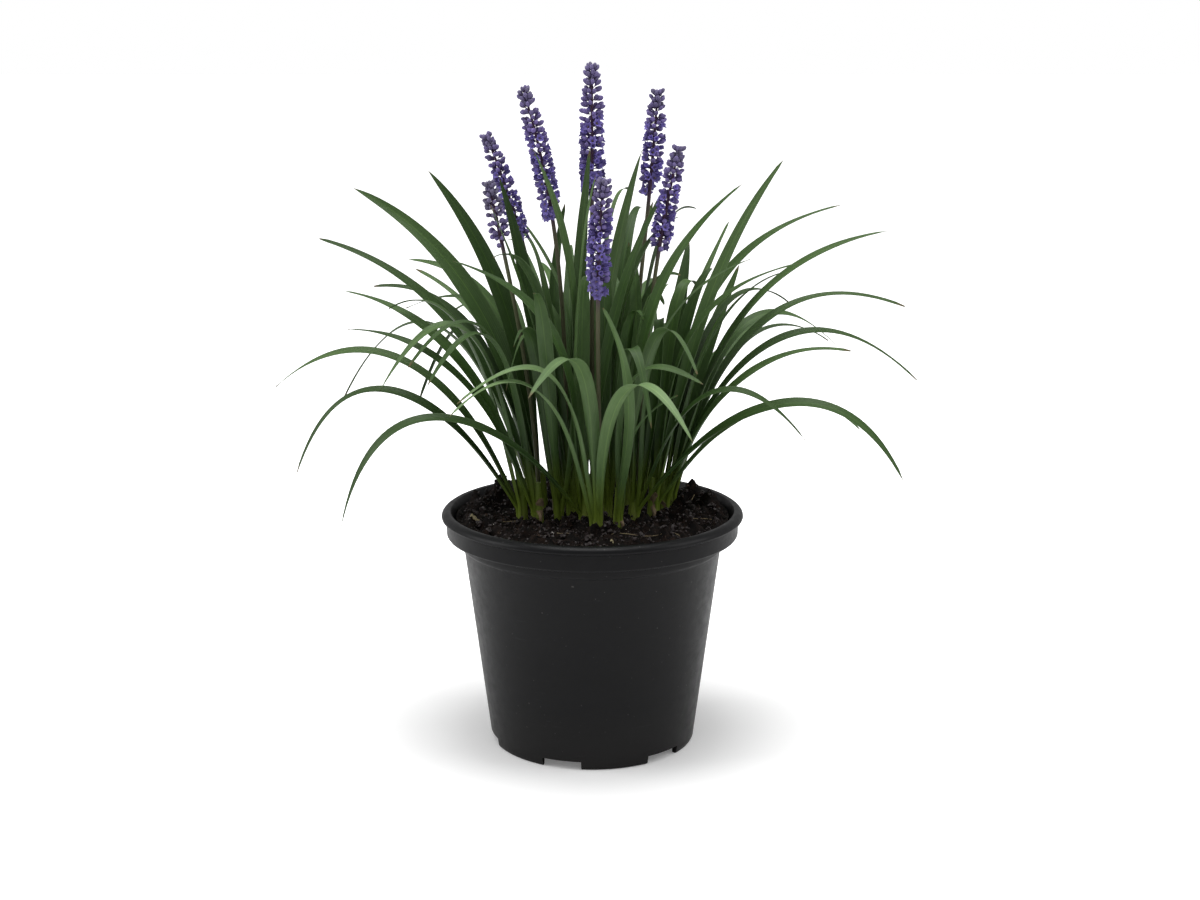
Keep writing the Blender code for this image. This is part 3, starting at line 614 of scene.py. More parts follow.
class Blade:
    """One leaf blade: a cubic curve from root to tip, with width and twist."""

    lean = 0.35

    def __init__(self, node, root, bend, tip, width, twist):
        self.node = node
        self.width = width
        self.twist = twist
        self.fixed = False
        self.steps = BLADE_STEPS
        lower = (bend - root).length
        share = lower / (lower + (tip - bend).length)
        share = min(max(share, LOWEST_BEND), HIGHEST_BEND)
        rise = root + Vector(((bend.x - root.x) * self.lean,
                              (bend.y - root.y) * self.lean,
                              (bend.z - root.z) * RISE))
        rest = 1.0 - share
        over = bend - root * rest ** 3 - rise * (3.0 * rest ** 2 * share) - tip * share ** 3
        self.points = [root, rise, over / (3.0 * rest * share ** 2), tip]
        heading = tip - root
        heading.z = 0.0
        heading = heading.normalized() if heading.length > 1e-6 else Vector((1, 0, 0))
        self.side = Vector((-heading.y, heading.x, 0.0))
        bent = (tip - self.points[2]).angle(rise - root)
        if bent > ARCH_ANGLE or abs(twist) > STEEP_TWIST:
            self.steps = ARCH_STEPS

    @staticmethod
    def weights(share):
        """How much each of the curve's four points counts at a place on it."""
        rest = 1.0 - share
        return (rest ** 3, 3.0 * rest ** 2 * share, 3.0 * rest * share ** 2, share ** 3)

    def at(self, share):
        """A point of the curve."""
        place = Vector((0.0, 0.0, 0.0))
        for weight, point in zip(self.weights(share), self.points):
            place += point * weight
        return place

    def frame(self, share):
        """The blade's direction, its side and its upper face at a place."""
        ahead = self.at(min(share + 0.01, 1.0)) - self.at(max(share - 0.01, 0.0))
        ahead.normalize()
        side = (self.side - ahead * self.side.dot(ahead)).normalized()
        face = ahead.cross(side)
        turn = math.radians(self.twist) * min(1.0, share / FULL_SHARE)
        return ahead, side * math.cos(turn) - face * math.sin(turn), \
            face * math.cos(turn) + side * math.sin(turn)

    def half_width(self, share):
        """Half the blade's width: narrower at the root, full, then to a point."""
        widening = math.sin(min(share / FULL_SHARE, 1.0) * math.pi / 2.0)
        grow = ROOT_WIDTH + (1.0 - ROOT_WIDTH) * widening
        taper = min(1.0, (1.0 - share) / TIP_SHARE) ** TIP_POWER
        return max(self.width / 2.0 * grow * taper, LEAST_HALF)

    def shell(self, extra=0.0):
        """The blade as a closed three-sided strip, widened by extra.

        Both faces are split along the same slant, so that a twisted blade stays
        as thick as a flat one.
        """
        points = []
        faces = []
        for index in range(self.steps):
            share = index / self.steps
            centre = self.at(share)
            _, side, face = self.frame(share)
            half = self.half_width(share) + extra
            thick = BLADE_THICK * min(1.0, BLADE_THIN + (1.0 - share))
            points.append(centre - side * half + face * extra)
            points.append(centre + side * half + face * extra)
            points.append(centre - face * (thick + extra))
        points.append(self.at(1.0))
        tip = len(points) - 1
        for index in range(self.steps - 1):
            left, right, keel = range(index * 3, index * 3 + 3)
            next_left, next_right, next_keel = range(index * 3 + 3, index * 3 + 6)
            faces += [(left, next_right, right), (left, next_left, next_right)]
            faces += [(right, next_right, keel), (keel, next_right, next_keel)]
            faces += [(keel, next_keel, left), (left, next_keel, next_left)]
        faces.append((0, 1, 2))
        left, right, keel = range(tip - 3, tip)
        faces += [(left, tip, right), (right, tip, keel), (keel, tip, left)]
        return points, faces

    def push(self, share, move):
        """Moves the blade at a place, by its curve's three free points."""
        weights = self.weights(share)
        total = sum(weight * weight for weight in weights[1:])
        for index in range(1, 4):
            self.points[index] = self.points[index] + move * (weights[index] / total)


class Spike(Blade):
    """A flower stalk with its head: the same curve, with a round section."""

    lean = 0.0

    def __init__(self, label, foot, bend, tip, head_length, head_radius):
        root = Vector((foot[0] * MM, foot[1] * MM, HOLE_FLOOR + GAP))
        super().__init__("head_" + label, root, Vector(bend) * MM, Vector(tip) * MM,
                         0.0, 0.0)
        self.label = label
        self.fixed = True
        self.head_radius = head_radius * MM
        places = [self.at(index / CURVE_STEPS) for index in range(CURVE_STEPS + 1)]
        self.length = sum((two - one).length for one, two in zip(places, places[1:]))
        self.head_start = 1.0 - head_length * MM / self.length

    def reach(self, part):
        """The head's radius at a part of its height, full until near its tip."""
        return self.head_radius * (1.0 - HEAD_TAPER * part ** HEAD_POWER)

    def ring(self, share, radius, sides):
        """Points round the curve."""
        _, side, face = self.frame(share)
        centre = self.at(share)
        found = []
        for index in range(sides):
            turn = 2.0 * math.pi * index / sides
            found.append(centre + (side * math.cos(turn) + face * math.sin(turn)) * radius)
        return found

    def tube(self, start, end, radius, end_radius, sides, steps):
        """A closed round tube along a stretch of the curve."""
        points = []
        faces = []
        for index in range(steps + 1):
            part = index / steps
            share = start + (end - start) * part
            points += self.ring(share, radius + (end_radius - radius) * part, sides)
        for index in range(steps):
            low = index * sides
            for corner in range(sides):
                after = (corner + 1) % sides
                faces.append((low + corner, low + after, low + sides + after))
                faces.append((low + corner, low + sides + after, low + sides + corner))
        faces.append(tuple(reversed(range(sides))))
        faces.append(tuple(range(steps * sides, (steps + 1) * sides)))
        return points, faces

    def shell(self, extra=0.0):
        """The room that the stalk and the head need, for parting the blades."""
        points, faces = self.tube(0.0, self.head_start, STALK_RADIUS + extra,
                                  STALK_RADIUS + extra, 6, 14)
        wide = self.head_radius + extra
        more, more_faces = self.tube(self.head_start - 0.01, 1.0, wide, wide * 0.8, 8, 8)
        shift = len(points)
        points += more
        faces += [tuple(shift + corner for corner in face) for face in more_faces]
        return points, faces


def named_blades():
    """The blades of the list."""
    blades = []
    counts = {}
    for node, bend, tip, width, twist in LEAVES:
        index = counts.get(node, 0)
        counts[node] = index + 1
        blades.append(Blade(node, blade_root(node, index), Vector(bend) * MM,
                            Vector(tip) * MM, width * MM, twist))
    return blades, counts


def blade_root(node, index):
    """Where a shoot's blade of that number starts inside the sheath."""
    x, y, _ = SHOOTS[node]
    turn = index * BLADE_TURN
    offset = BLADE_ROOT_OFFSET if index else 0.0
    return Vector((x * MM + offset * math.cos(turn), y * MM + offset * math.sin(turn),
                   BLADE_ROOT + BLADE_ROOT_STEP * index))


def fan_blades(counts):
    """The blades of the fans, each drawn within its fan's ranges."""
    draw = random.Random(11)
    blades = []
    for node, number, heading, spread, reaches, heights in FANS:
        for index in range(number):
            share = (index + 0.5) / number
            stray = draw.uniform(-FAN_STRAY, FAN_STRAY)
            turn = math.radians(heading + spread * (share - 0.5) + stray)
            reach = draw.uniform(*reaches) * MM
            height = draw.uniform(*heights) * MM
            root = blade_root(node, counts.get(node, 0) + index)
            out = Vector((math.cos(turn), math.sin(turn), 0.0))
            if root.y + reach * out.y > BACK_REACH:
                reach = (BACK_REACH - root.y) / out.y
            low = max(0.0, ARCH_BELOW - height)
            bend = root + out * reach * draw.uniform(*FAN_BEND)
            bend.z = height + draw.uniform(*FAN_DROP) + low * ARCH_RISE
            tip = root + out * reach
            tip.z = height
            blades.append(Blade(node, root, bend, tip, draw.uniform(*FAN_WIDTH) * MM,
                                draw.uniform(-FAN_TWIST, FAN_TWIST)))
    return blades


def crossings(blades):
    """Pairs of blades that come too close, with the place.

    Blades of one shoot may touch low down, where they leave the sheath together.
    """
    shells = []
    for blade in blades:
        points, faces = blade.shell(BLADE_CLEAR)
        tree = BVHTree.FromPolygons(points, faces, all_triangles=False)
        lows = [min(p[axis] for p in points) for axis in range(3)]
        highs = [max(p[axis] for p in points) for axis in range(3)]
        shells.append((points, faces, tree, lows, highs))
    found = []
    for first in range(len(blades)):
        for second in range(first + 1, len(blades)):
            if blades[first].fixed and blades[second].fixed:
                continue
            one = shells[first]
            two = shells[second]
            if any(one[3][a] > two[4][a] or two[3][a] > one[4][a] for a in range(3)):
                continue
            places = []
            for face, _ in one[2].overlap(two[2]):
                corners = [Vector(one[0][corner]) for corner in one[1][face][:3]]
                places.append((corners[0] + corners[1] + corners[2]) / 3.0)
            if blades[first].node == blades[second].node:
                places = [place for place in places if place.z > TUFT_TOP]
            if places:
                centre = sum(places, Vector((0.0, 0.0, 0.0))) / len(places)
                found.append((first, second, centre))
    return found


def nearest_share(blade, place):
    """Where on its curve a blade is nearest to a place."""
    shares = [index / CURVE_STEPS for index in range(CURVE_STEPS + 1)]
    return min(shares, key=lambda share: (blade.at(share) - place).length_squared)


def part_blades(blades):
    """Bends the blades clear of each other and of the spikes, mostly in depth."""
    for _ in range(PART_ROUNDS):
        found = crossings(blades)
        if not found:
            return
        for first, second, place in found:
            one = blades[first]
            two = blades[second]
            share_one = nearest_share(one, place)
            share_two = nearest_share(two, place)
            apart = one.at(share_one) - two.at(share_two)
            apart.x *= PART_ACROSS
            apart.z *= PART_UP
            if apart.length < 1e-6:
                apart = Vector((0.0, 1.0, 0.0))
            apart.normalize()
            if not one.fixed:
                one.push(share_one, apart * PART_STEP)
            if not two.fixed:
                two.push(share_two, apart * -PART_STEP)


def grown_plant():
    """The plant's spikes and blades, each curve clear of the others."""
    blades, counts = named_blades()
    blades += fan_blades(counts)
    spikes = [Spike(label, *values) for label, values in SPIKES.items()]
    part_blades(spikes + blades)
    return spikes, blades


def ground(x, y):
    """The height of the crumbly soil at a place, with its heaps."""
    height = soil_height(x, y)
    for heap_x, heap_y, radius, rise in HEAPS:
        away = math.hypot(x - heap_x * MM, y - heap_y * MM) / (radius * MM)
        height += HEAP_SHARE * rise * MM * ease(1.0 - away)
    height += RIM_RISE * ease((math.hypot(x, y) - RIM_RISE_FROM) / RIM_RISE_OVER)
    place = Vector((x, y, 0.0))
    for (size, waves, detail, middle), hard in ((SOIL_LUMPS, False), (SOIL_GRAINS, True)):
        height += size * (noise.turbulence(place * waves, detail, hard) - middle)
    return height


# Materials

class Nodes:
    """Short ways to lay out a material's or a group's nodes."""

    def __init__(self, tree):
        self.tree = tree
        self.count = 0

    def add(self, kind, values=None, **fields):
        """A node with its fields and its unlinked sockets set."""
        node = self.tree.nodes.new(kind)
        node.location = ((self.count % 8) * 200 - 1200, (self.count // 8) * -260)
        self.count += 1
        for field, value in fields.items():
            setattr(node, field, value)
        for socket, value in (values or {}).items():
            if isinstance(value, bpy.types.NodeSocket):
                self.tree.links.new(value, node.inputs[socket])
            else:
                node.inputs[socket].default_value = value
        return node

    def link(self, output, node, socket):
        """Links an output to a node's socket."""
        self.tree.links.new(output, node.inputs[socket])

    def math(self, operation, first, second=0.0, third=0.0):
        """A sum of numbers, of any kind."""
        node = self.add("ShaderNodeMath", {0: first, 1: second, 2: third},
                        operation=operation)
        return node.outputs[0]

    def mix(self, factor, first, second, blend="MIX"):
        """A mix of two colours."""
        node = self.add("ShaderNodeMix", {0: factor, 6: first, 7: second},
                        data_type="RGBA", blend_type=blend)
        return node.outputs[2]

    def ramp(self, factor, *stops):
        """A ramp from (place, grey) stops."""
        node = self.add("ShaderNodeValToRGB", {0: factor})
        ramp = node.color_ramp
        for element, (place, value) in zip(ramp.elements, stops):
            element.position = place
            element.color = (value, value, value, 1.0)
        return node.outputs[0]

    def noise(self, vector, scale, detail=3.0, roughness=0.55):
        """Noise of a scale in waves a metre, or a UV unit."""
        node = self.add("ShaderNodeTexNoise", {"Vector": vector, "Scale": scale,
                                               "Detail": detail, "Roughness": roughness})
        return node.outputs[0]

    def stretch(self, vector, scale):
        """A Mapping node that stretches a pattern."""
        return self.add("ShaderNodeMapping", {"Vector": vector, "Scale": scale}).outputs[0]

    def colour(self, value):
        """An RGB node, for a colour that is mixed with others."""
        node = self.add("ShaderNodeRGB")
        node.outputs[0].default_value = (*value, 1.0)
        return node.outputs[0]

    def marks(self, name):
        """The three numbers that a mesh's points hold."""
        found = self.add("ShaderNodeAttribute", attribute_name=name,
                         attribute_type="GEOMETRY")
        split = self.add("ShaderNodeSeparateColor", {0: found.outputs["Color"]})
        return split.outputs[0], split.outputs[1], split.outputs[2]


def new_material(name, roughness, specular=0.5):
    """A material with its Principled shader, and the shader's node helper."""
    material = bpy.data.materials.new(name)
    material.use_nodes = True
    tree = material.node_tree
    shader = tree.nodes["Principled BSDF"]
    shader.inputs["Roughness"].default_value = roughness
    shader.inputs["Specular IOR Level"].default_value = specular
    return material, Nodes(tree), shader


def grain_group():
    """A node group of fine uneven grain: a mask, and a height for bumps."""
    found = bpy.data.node_groups.get("fine_grain")
    if found:
        return found
    group = bpy.data.node_groups.new("fine_grain", "ShaderNodeTree")
    face = group.interface
    face.new_socket("Vector", in_out="INPUT", socket_type="NodeSocketVector")
    scale = face.new_socket("Scale", in_out="INPUT", socket_type="NodeSocketFloat")
    scale.default_value = 900.0
    face.new_socket("Mask", in_out="OUTPUT", socket_type="NodeSocketFloat")
    face.new_socket("Height", in_out="OUTPUT", socket_type="NodeSocketFloat")
    nodes = Nodes(group)
    start = nodes.add("NodeGroupInput")
    end = nodes.add("NodeGroupOutput")
    coarse = nodes.math("MULTIPLY", start.outputs["Scale"], 0.12)
    fine = nodes.noise(start.outputs["Vector"], start.outputs["Scale"], 2.0, 0.6)
    broad = nodes.noise(start.outputs["Vector"], coarse, 4.0, 0.6)
    nodes.link(nodes.math("MULTIPLY", fine, broad), end, "Height")
    nodes.link(nodes.ramp(broad, (0.35, 0.0), (0.68, 1.0)), end, "Mask")
    return group


def grain(nodes, vector, scale):
    """The fine grain group placed in a material."""
    node = nodes.add("ShaderNodeGroup", node_tree=grain_group())
    nodes.link(vector, node, "Vector")
    node.inputs["Scale"].default_value = scale
    return node.outputs["Mask"], node.outputs["Height"]


def bump(nodes, shader, height, strength, distance):
    """Feeds a height into the shader's normal."""
    node = nodes.add("ShaderNodeBump", {"Height": height, "Strength": strength,
                                        "Distance": distance})
    nodes.link(node.outputs[0], shader, "Normal")


def pot_material():
    """Near-black moulded plastic: faint grain, dust low down and small scuffs."""
    material, nodes, shader = new_material("pot_plastic", 0.42, 0.18)
    place = nodes.add("ShaderNodeTexCoord").outputs["Object"]
    mask, height = grain(nodes, place, 1400.0)
    level = nodes.add("ShaderNodeSeparateXYZ", {0: place}).outputs["Z"]
    dust = nodes.noise(nodes.stretch(place, (9.0, 9.0, 22.0)), 1.0, 5.0, 0.65)
    specks = nodes.ramp(nodes.noise(place, 520.0, 1.0, 0.4), (0.77, 0.0), (0.80, 1.0))
    scuffs = nodes.noise(nodes.stretch(place, (40.0, 40.0, 420.0)), 1.0, 4.0, 0.7)
    scuffs = nodes.ramp(scuffs, (0.66, 0.0), (0.74, 1.0))
    colour = settings().pot_colour
    base = nodes.mix(nodes.ramp(dust, (0.35, 0.0), (0.75, 0.5)),
                     nodes.colour(colour), nodes.colour([part * 1.7 for part in colour]))
    low = nodes.math("MULTIPLY", nodes.ramp(level, (0.0, 1.0), (0.04, 0.0)), 0.30)
    base = nodes.mix(low, base, nodes.colour(DUST))
    base = nodes.mix(nodes.math("MULTIPLY", scuffs, 0.22), base,
                     nodes.colour(SCUFF))
    base = nodes.mix(nodes.math("MULTIPLY", specks, 0.35), base,
                     nodes.colour(PALE_SPECK))
    nodes.link(base, shader, "Base Color")
    rough = nodes.math("MULTIPLY_ADD", mask, 0.10, 0.33)
    nodes.link(nodes.math("MULTIPLY_ADD", scuffs, 0.12, rough), shader, "Roughness")
    bump(nodes, shader, height, 0.30, 0.0002)
    return material


def soil_material():
    """Moist potting soil: dark crumbs with reddish fibre."""
    material, nodes, shader = new_material("soil", 0.85, 0.10)
    place = nodes.add("ShaderNodeTexCoord").outputs["Object"]
    mask, height = grain(nodes, place, 900.0)
    patches = nodes.noise(place, 240.0, 4.0, 0.65)
    base = nodes.mix(nodes.ramp(patches, (0.45, 0.0), (0.72, 1.0)),
                     nodes.colour(settings().soil_colour),
                     nodes.colour(SOIL_BROWN))
    fibre = nodes.noise(nodes.stretch(place, (1.0, 4.0, 1.0)), 420.0, 2.0, 0.5)
    fibre = nodes.ramp(fibre, (0.70, 0.0), (0.76, 0.5))
    base = nodes.mix(fibre, base, nodes.colour(SOIL_FIBRE))
    nodes.link(base, shader, "Base Color")
    nodes.link(nodes.math("MULTIPLY_ADD", mask, -0.30, 0.92), shader, "Roughness")
    bump(nodes, shader, height, 0.9, 0.0008)
    return material


def speck_material(name):
    """A small loose bit: one colour, darker in patches."""
    colour, dark, roughness = SPECKS[name]
    material, nodes, shader = new_material(name, roughness, 0.3)
    place = nodes.add("ShaderNodeTexCoord").outputs["Object"]
    _, height = grain(nodes, place, 1500.0)
    patches = nodes.noise(place, 600.0, 3.0, 0.6)
    base = nodes.mix(nodes.ramp(patches, (0.4, 0.0), (0.7, 1.0)), nodes.colour(colour),
                     nodes.colour(dark))
    nodes.link(base, shader, "Base Color")
    bump(nodes, shader, height, 0.5, 0.0003)
    return material


def leaf_material():
    """Strap leaf: ribs along it, a pale midrib that is a painted highlight, edges with painted sheen,
    painted shade in patches and low down, a light base and a drying tip.

    The blade's UV map runs along the blade in X and across it in Y. Its mark
    holds the blade's tone, its dryness and how pale it is, a paleness that is partly painted light.
    """
    material, nodes, shader = new_material("leaf", 0.42, 0.30)
    values = settings()
    uv = nodes.add("ShaderNodeTexCoord").outputs["UV"]
    split = nodes.add("ShaderNodeSeparateXYZ", {0: uv})
    along = split.outputs["X"]
    middle = nodes.math("ABSOLUTE", nodes.math("SUBTRACT", split.outputs["Y"], 0.5))
    tone, dry, pale = nodes.marks(BLADE_MARK)
    # The pale colour that the mark mixes in is partly painted light on leaves that catch the light
    leaf = nodes.mix(pale, nodes.colour(values.leaf_colour), nodes.colour(values.leaf_pale))
    toned = nodes.mix(tone, nodes.colour(LEAF_SHADED), nodes.colour(LEAF_BRIGHT))
    leaf = nodes.mix(1.0, leaf, toned, "MULTIPLY")
    streak = nodes.noise(nodes.stretch(uv, (3.0, 34.0, 1.0)), 1.0, 3.0, 0.6)
    lit = nodes.mix(1.0, leaf, nodes.colour(LEAF_STREAK), "MULTIPLY")
    leaf = nodes.mix(nodes.ramp(streak, (0.30, 0.0), (0.80, 0.75)), leaf, lit)
    # Darker patches along the blade: painted shadow
    patches = nodes.noise(nodes.stretch(uv, (9.0, 1.6, 1.0)), 1.0, 2.0, 0.5)
    shadow = nodes.mix(1.0, leaf, nodes.colour(LEAF_SHADOW_PATCH), "MULTIPLY")
    leaf = nodes.mix(nodes.ramp(patches, (0.35, 0.0), (0.70, 0.8)), leaf, shadow)
    # A pale line along the midrib: a painted highlight
    rib = nodes.ramp(middle, (0.0, 0.75), (0.05, 0.0))
    leaf = nodes.mix(rib, leaf, nodes.mix(1.0, leaf, nodes.colour(LEAF_MIDRIB_HIGHLIGHT), "MULTIPLY"))
    # Pale thin edges on each blade: painted sheen
    edge = nodes.ramp(middle, (0.44, 0.0), (0.5, 0.55))
    leaf = nodes.mix(edge, leaf, nodes.colour(LEAF_EDGE_SHEEN))
    # Each leaf darker low down, fading out by about two thirds of its length: painted shade
    deep = nodes.mix(1.0, leaf, nodes.colour(LEAF_LOW_SHADE), "MULTIPLY")
    leaf = nodes.mix(nodes.ramp(along, (0.10, 1.0), (0.62, 0.0)), leaf, deep)
    base = nodes.ramp(along, (0.03, 1.0), (0.22, 0.0))
    leaf = nodes.mix(base, leaf, nodes.colour(values.leaf_base))
    white = nodes.ramp(along, (0.0, 0.45), (0.055, 0.0))
    leaf = nodes.mix(white, leaf, nodes.colour(LEAF_BLANCHED))
    drying = nodes.math("MULTIPLY_ADD", dry, 0.016, along)
    drying = nodes.ramp(drying, (0.990, 0.0), (1.0, 0.85))
    leaf = nodes.mix(drying, leaf, nodes.colour(LEAF_DRY))
    nodes.link(leaf, shader, "Base Color")
    ribs = nodes.add("ShaderNodeTexWave", {"Vector": uv, "Scale": 3.6, "Distortion": 0.15,
                                           "Detail": 1.0}, bands_direction="Y")
    fine = nodes.noise(nodes.stretch(uv, (60.0, 60.0, 1.0)), 1.0, 2.0, 0.5)
    height = nodes.math("MULTIPLY_ADD", fine, 0.25, ribs.outputs["Fac"])
    nodes.link(nodes.math("MULTIPLY_ADD", streak, 0.24, 0.32), shader, "Roughness")
    bump(nodes, shader, height, 0.28, 0.00022)
    return material


def papery_material():
    """Dried brown sheath: streaked and thin."""
    material, nodes, shader = new_material("papery_sheath", 0.75, 0.3)
    uv = nodes.add("ShaderNodeTexCoord").outputs["UV"]
    streak = nodes.noise(nodes.stretch(uv, (3.0, 40.0, 1.0)), 1.0, 3.0, 0.6)
    base = nodes.mix(nodes.ramp(streak, (0.35, 0.0), (0.7, 1.0)),
                     nodes.colour(PAPER_BROWN), nodes.colour(PAPER_PALE))
    nodes.link(base, shader, "Base Color")
    bump(nodes, shader, streak, 0.5, 0.0003)
    return material


def stalk_material():
    """Flower stalk: olive below, dark wine red where the florets sit."""
    material, nodes, shader = new_material("flower_stalk", 0.5, 0.4)
    uv = nodes.add("ShaderNodeTexCoord").outputs["UV"]
    high, tone, _ = nodes.marks(STALK_MARK)
    streak = nodes.noise(nodes.stretch(uv, (26.0, 5.0, 1.0)), 1.0, 3.0, 0.6)
    olive = nodes.mix(streak, nodes.colour(STALK_OLIVE), nodes.colour(STALK_DUN))
    brown = nodes.mix(tone, olive, nodes.colour(STALK_BROWN))
    olive = nodes.mix(0.3, olive, brown)
    wine = nodes.mix(streak, nodes.colour(WINE_LIGHT), nodes.colour(WINE_DARK))
    nodes.link(nodes.mix(high, olive, wine), shader, "Base Color")
    bump(nodes, shader, streak, 0.3, 0.0002)
    return material


def floret_material(name, colour, vein_colour, roughness):
    """Violet petal or bud: its mark holds its tone, its age and its stalklet."""
    material, nodes, shader = new_material(name, roughness, 0.3)
    place = nodes.add("ShaderNodeTexCoord").outputs["Object"]
    tone, grey, root = nodes.marks(FLORET_MARK)
    veins = nodes.noise(place, 1500.0, 2.0, 0.5)
    petal = nodes.mix(tone, nodes.colour([part * 0.62 for part in colour]),
                      nodes.colour([part * 1.35 for part in colour]))
    petal = nodes.mix(nodes.ramp(veins, (0.4, 0.0), (0.7, 0.5)), petal,
                      nodes.colour(vein_colour))
    petal = nodes.mix(nodes.math("MULTIPLY", grey, 0.75), petal,
                      nodes.colour(BUD_GREY))
    petal = nodes.mix(nodes.math("MULTIPLY", root, 0.8), petal,
                      nodes.colour(STALKLET))
    nodes.link(petal, shader, "Base Color")
    bump(nodes, shader, veins, 0.25, 0.0002)
    return material


# The pot

def pot_outline():
    """The pot's section from the middle of its underside, out and over the lip."""
    floor_top = FLOOR_UNDER + FLOOR_THICK
    lip = POT_HEIGHT - LIP_DROP
    foot = BASE_RADIUS - FOOT_WIDTH - EDGE_IN
    middle = (HEEL + STEP_HEIGHT) / 2.0
    return [
        (foot - 0.0003, FLOOR_UNDER),
        (foot, FLOOR_UNDER - 0.0003),
        (foot, 0.0004),
        (foot + 0.0004, 0.0),
        (BASE_RADIUS - 0.0016, 0.0),
        (BASE_RADIUS - 0.0007, 0.0004),
        (BASE_RADIUS - 0.0002, 0.0014),
        (BASE_RADIUS, HEEL),
        ((BASE_RADIUS + STEP_RADIUS) / 2.0, middle),
        (STEP_RADIUS - 0.0001, STEP_HEIGHT - 0.0010),
        (STEP_RADIUS + 0.0003, STEP_HEIGHT - 0.0003),
        (NECK_RADIUS - 0.0006, STEP_HEIGHT + 0.0006),
        (NECK_RADIUS, STEP_HEIGHT + STEP_RISE),
        (NECK_RADIUS + COLLAR_FLARE, COLLAR_BOTTOM - 0.0018),
        (NECK_RADIUS + 0.0016, COLLAR_BOTTOM - 0.0009),
        (COLLAR_RADIUS - 0.0020, COLLAR_BOTTOM - 0.0006),
        (COLLAR_RADIUS - 0.0006, COLLAR_BOTTOM - 0.0001),
        (COLLAR_RADIUS, COLLAR_BOTTOM + 0.0008),
        (COLLAR_RADIUS + 0.0002, lip - 0.0022),
        (COLLAR_RADIUS + 0.0008, lip - 0.0016),
        (LIP_RADIUS - 0.0012, lip - 0.0013),
        (LIP_RADIUS - 0.0003, lip - 0.0009),
        (LIP_RADIUS, lip),
        (LIP_RADIUS - 0.0003, lip + 0.0011),
        (LIP_RADIUS - 0.0012, POT_HEIGHT - 0.0013),
        (LIP_RADIUS - 0.0026, POT_HEIGHT - 0.0004),
        (RIM_RADIUS + 0.0006, POT_HEIGHT),
        (inner_radius(POT_HEIGHT) + 0.0006, POT_HEIGHT - 0.0003),
        (inner_radius(POT_HEIGHT), POT_HEIGHT - 0.0012),
        (inner_radius(STEP_HEIGHT), STEP_HEIGHT),
        (inner_radius(floor_top), floor_top),
    ]


def turned_by_hand(name, outline, sides):
    """A round body: a disc extruded and resized from ring to ring."""
    deselect_all()
    radius, height = outline[0]
    bpy.ops.mesh.primitive_circle_add(vertices=sides, radius=radius, fill_type="NGON",
                                      location=(0.0, 0.0, height))
    piece = named(name)
    settle(piece)
    bpy.ops.object.mode_set(mode="EDIT")
    bpy.ops.mesh.select_all(action="SELECT")
    for next_radius, next_height in outline[1:]:
        bpy.ops.mesh.extrude_region_move(
            TRANSFORM_OT_translate={"value": (0.0, 0.0, next_height - height)})
        ratio = next_radius / radius
        bpy.ops.transform.resize(value=(ratio, ratio, 1.0),
                                 center_override=(0.0, 0.0, next_height))
        radius, height = next_radius, next_height
    bpy.ops.mesh.select_all(action="SELECT")
    bpy.ops.mesh.normals_make_consistent(inside=False)
    bpy.ops.object.mode_set(mode="OBJECT")
    return piece


class LIRIOPE_OT_pot(bpy.types.Operator):
    """Adds the pot with its lip, collar, foot notches and drain holes"""

    bl_idname = "liriope.pot"
    bl_label = "Pot"

    def execute(self, context):
        """Turns the pot, then cuts its notches and drains."""
        pot = turned_by_hand("nursery_pot", pot_outline(), settings().pot_sides)
        cutters = []
        for index in range(NOTCHES):
            turn = NOTCH_TURN + index * 2.0 * math.pi / NOTCHES
            reach = Vector((math.cos(turn), math.sin(turn), 0.0))
            deselect_all()
            bpy.ops.mesh.primitive_cube_add(size=1.0, location=reach * BASE_RADIUS,
                                            rotation=(0.0, 0.0, turn))
            bpy.context.object.scale = (NOTCH_DEPTH, NOTCH_WIDTH, 2.0 * NOTCH_HEIGHT)
            cutters.append(named("notch"))
            deselect_all()
            bpy.ops.mesh.primitive_cylinder_add(
                vertices=24, radius=DRAIN_RADIUS, depth=2.0 * FLOOR_UNDER,
                location=reach * DRAIN_CIRCLE + UP * 1.5 * FLOOR_UNDER)
            cutters.append(named("drain"))
        cutter = join(cutters, "cutter")
        step = pot.modifiers.new("cut", "BOOLEAN")
        step.object = cutter
        step.use_self = True
        apply_step(pot, step)
        remove(cutter)
        shade(pot, 32)
        dress(pot, "pot", "pot", material=pot_material())
        return {"FINISHED"}


# The soil and what lies on it

class LIRIOPE_OT_soil(bpy.types.Operator):
    """Adds the soil with its crumbly surface"""

    bl_idname = "liriope.soil"
    bl_label = "Soil"

    def execute(self, context):
        """Turns a plug of soil, then raises its top in crumbs."""
        rim = inner_radius(SOIL_LEVEL) - GAP
        bottom = FLOOR_UNDER + FLOOR_THICK + GAP
        outline = [(inner_radius(bottom) - GAP, bottom),
                   (inner_radius(STEP_HEIGHT) - GAP, STEP_HEIGHT), (rim, SOIL_LEVEL)]
        outline += [(rim * ring / SOIL_FINE_RINGS, SOIL_LEVEL)
                    for ring in range(SOIL_FINE_RINGS - 1, 0, -1)]
        soil = turned_by_hand("potting_soil", outline, SOIL_FINE_SIDES)
        points = coords(soil.data)
        for point in points:
            if point[2] < STEP_HEIGHT + MM:
                continue
            height = ground(point[0], point[1])
            away = rim - math.hypot(point[0], point[1])
            edge = SOIL_LEVEL + 0.6 * RIM_RISE
            point[2] = edge + (height - edge) * ease(away / SOIL_EDGE)
        set_coords(soil.data, points)
        shade(soil, 60)
        dress(soil, "soil", "soil", material=soil_material())
        return {"FINISHED"}


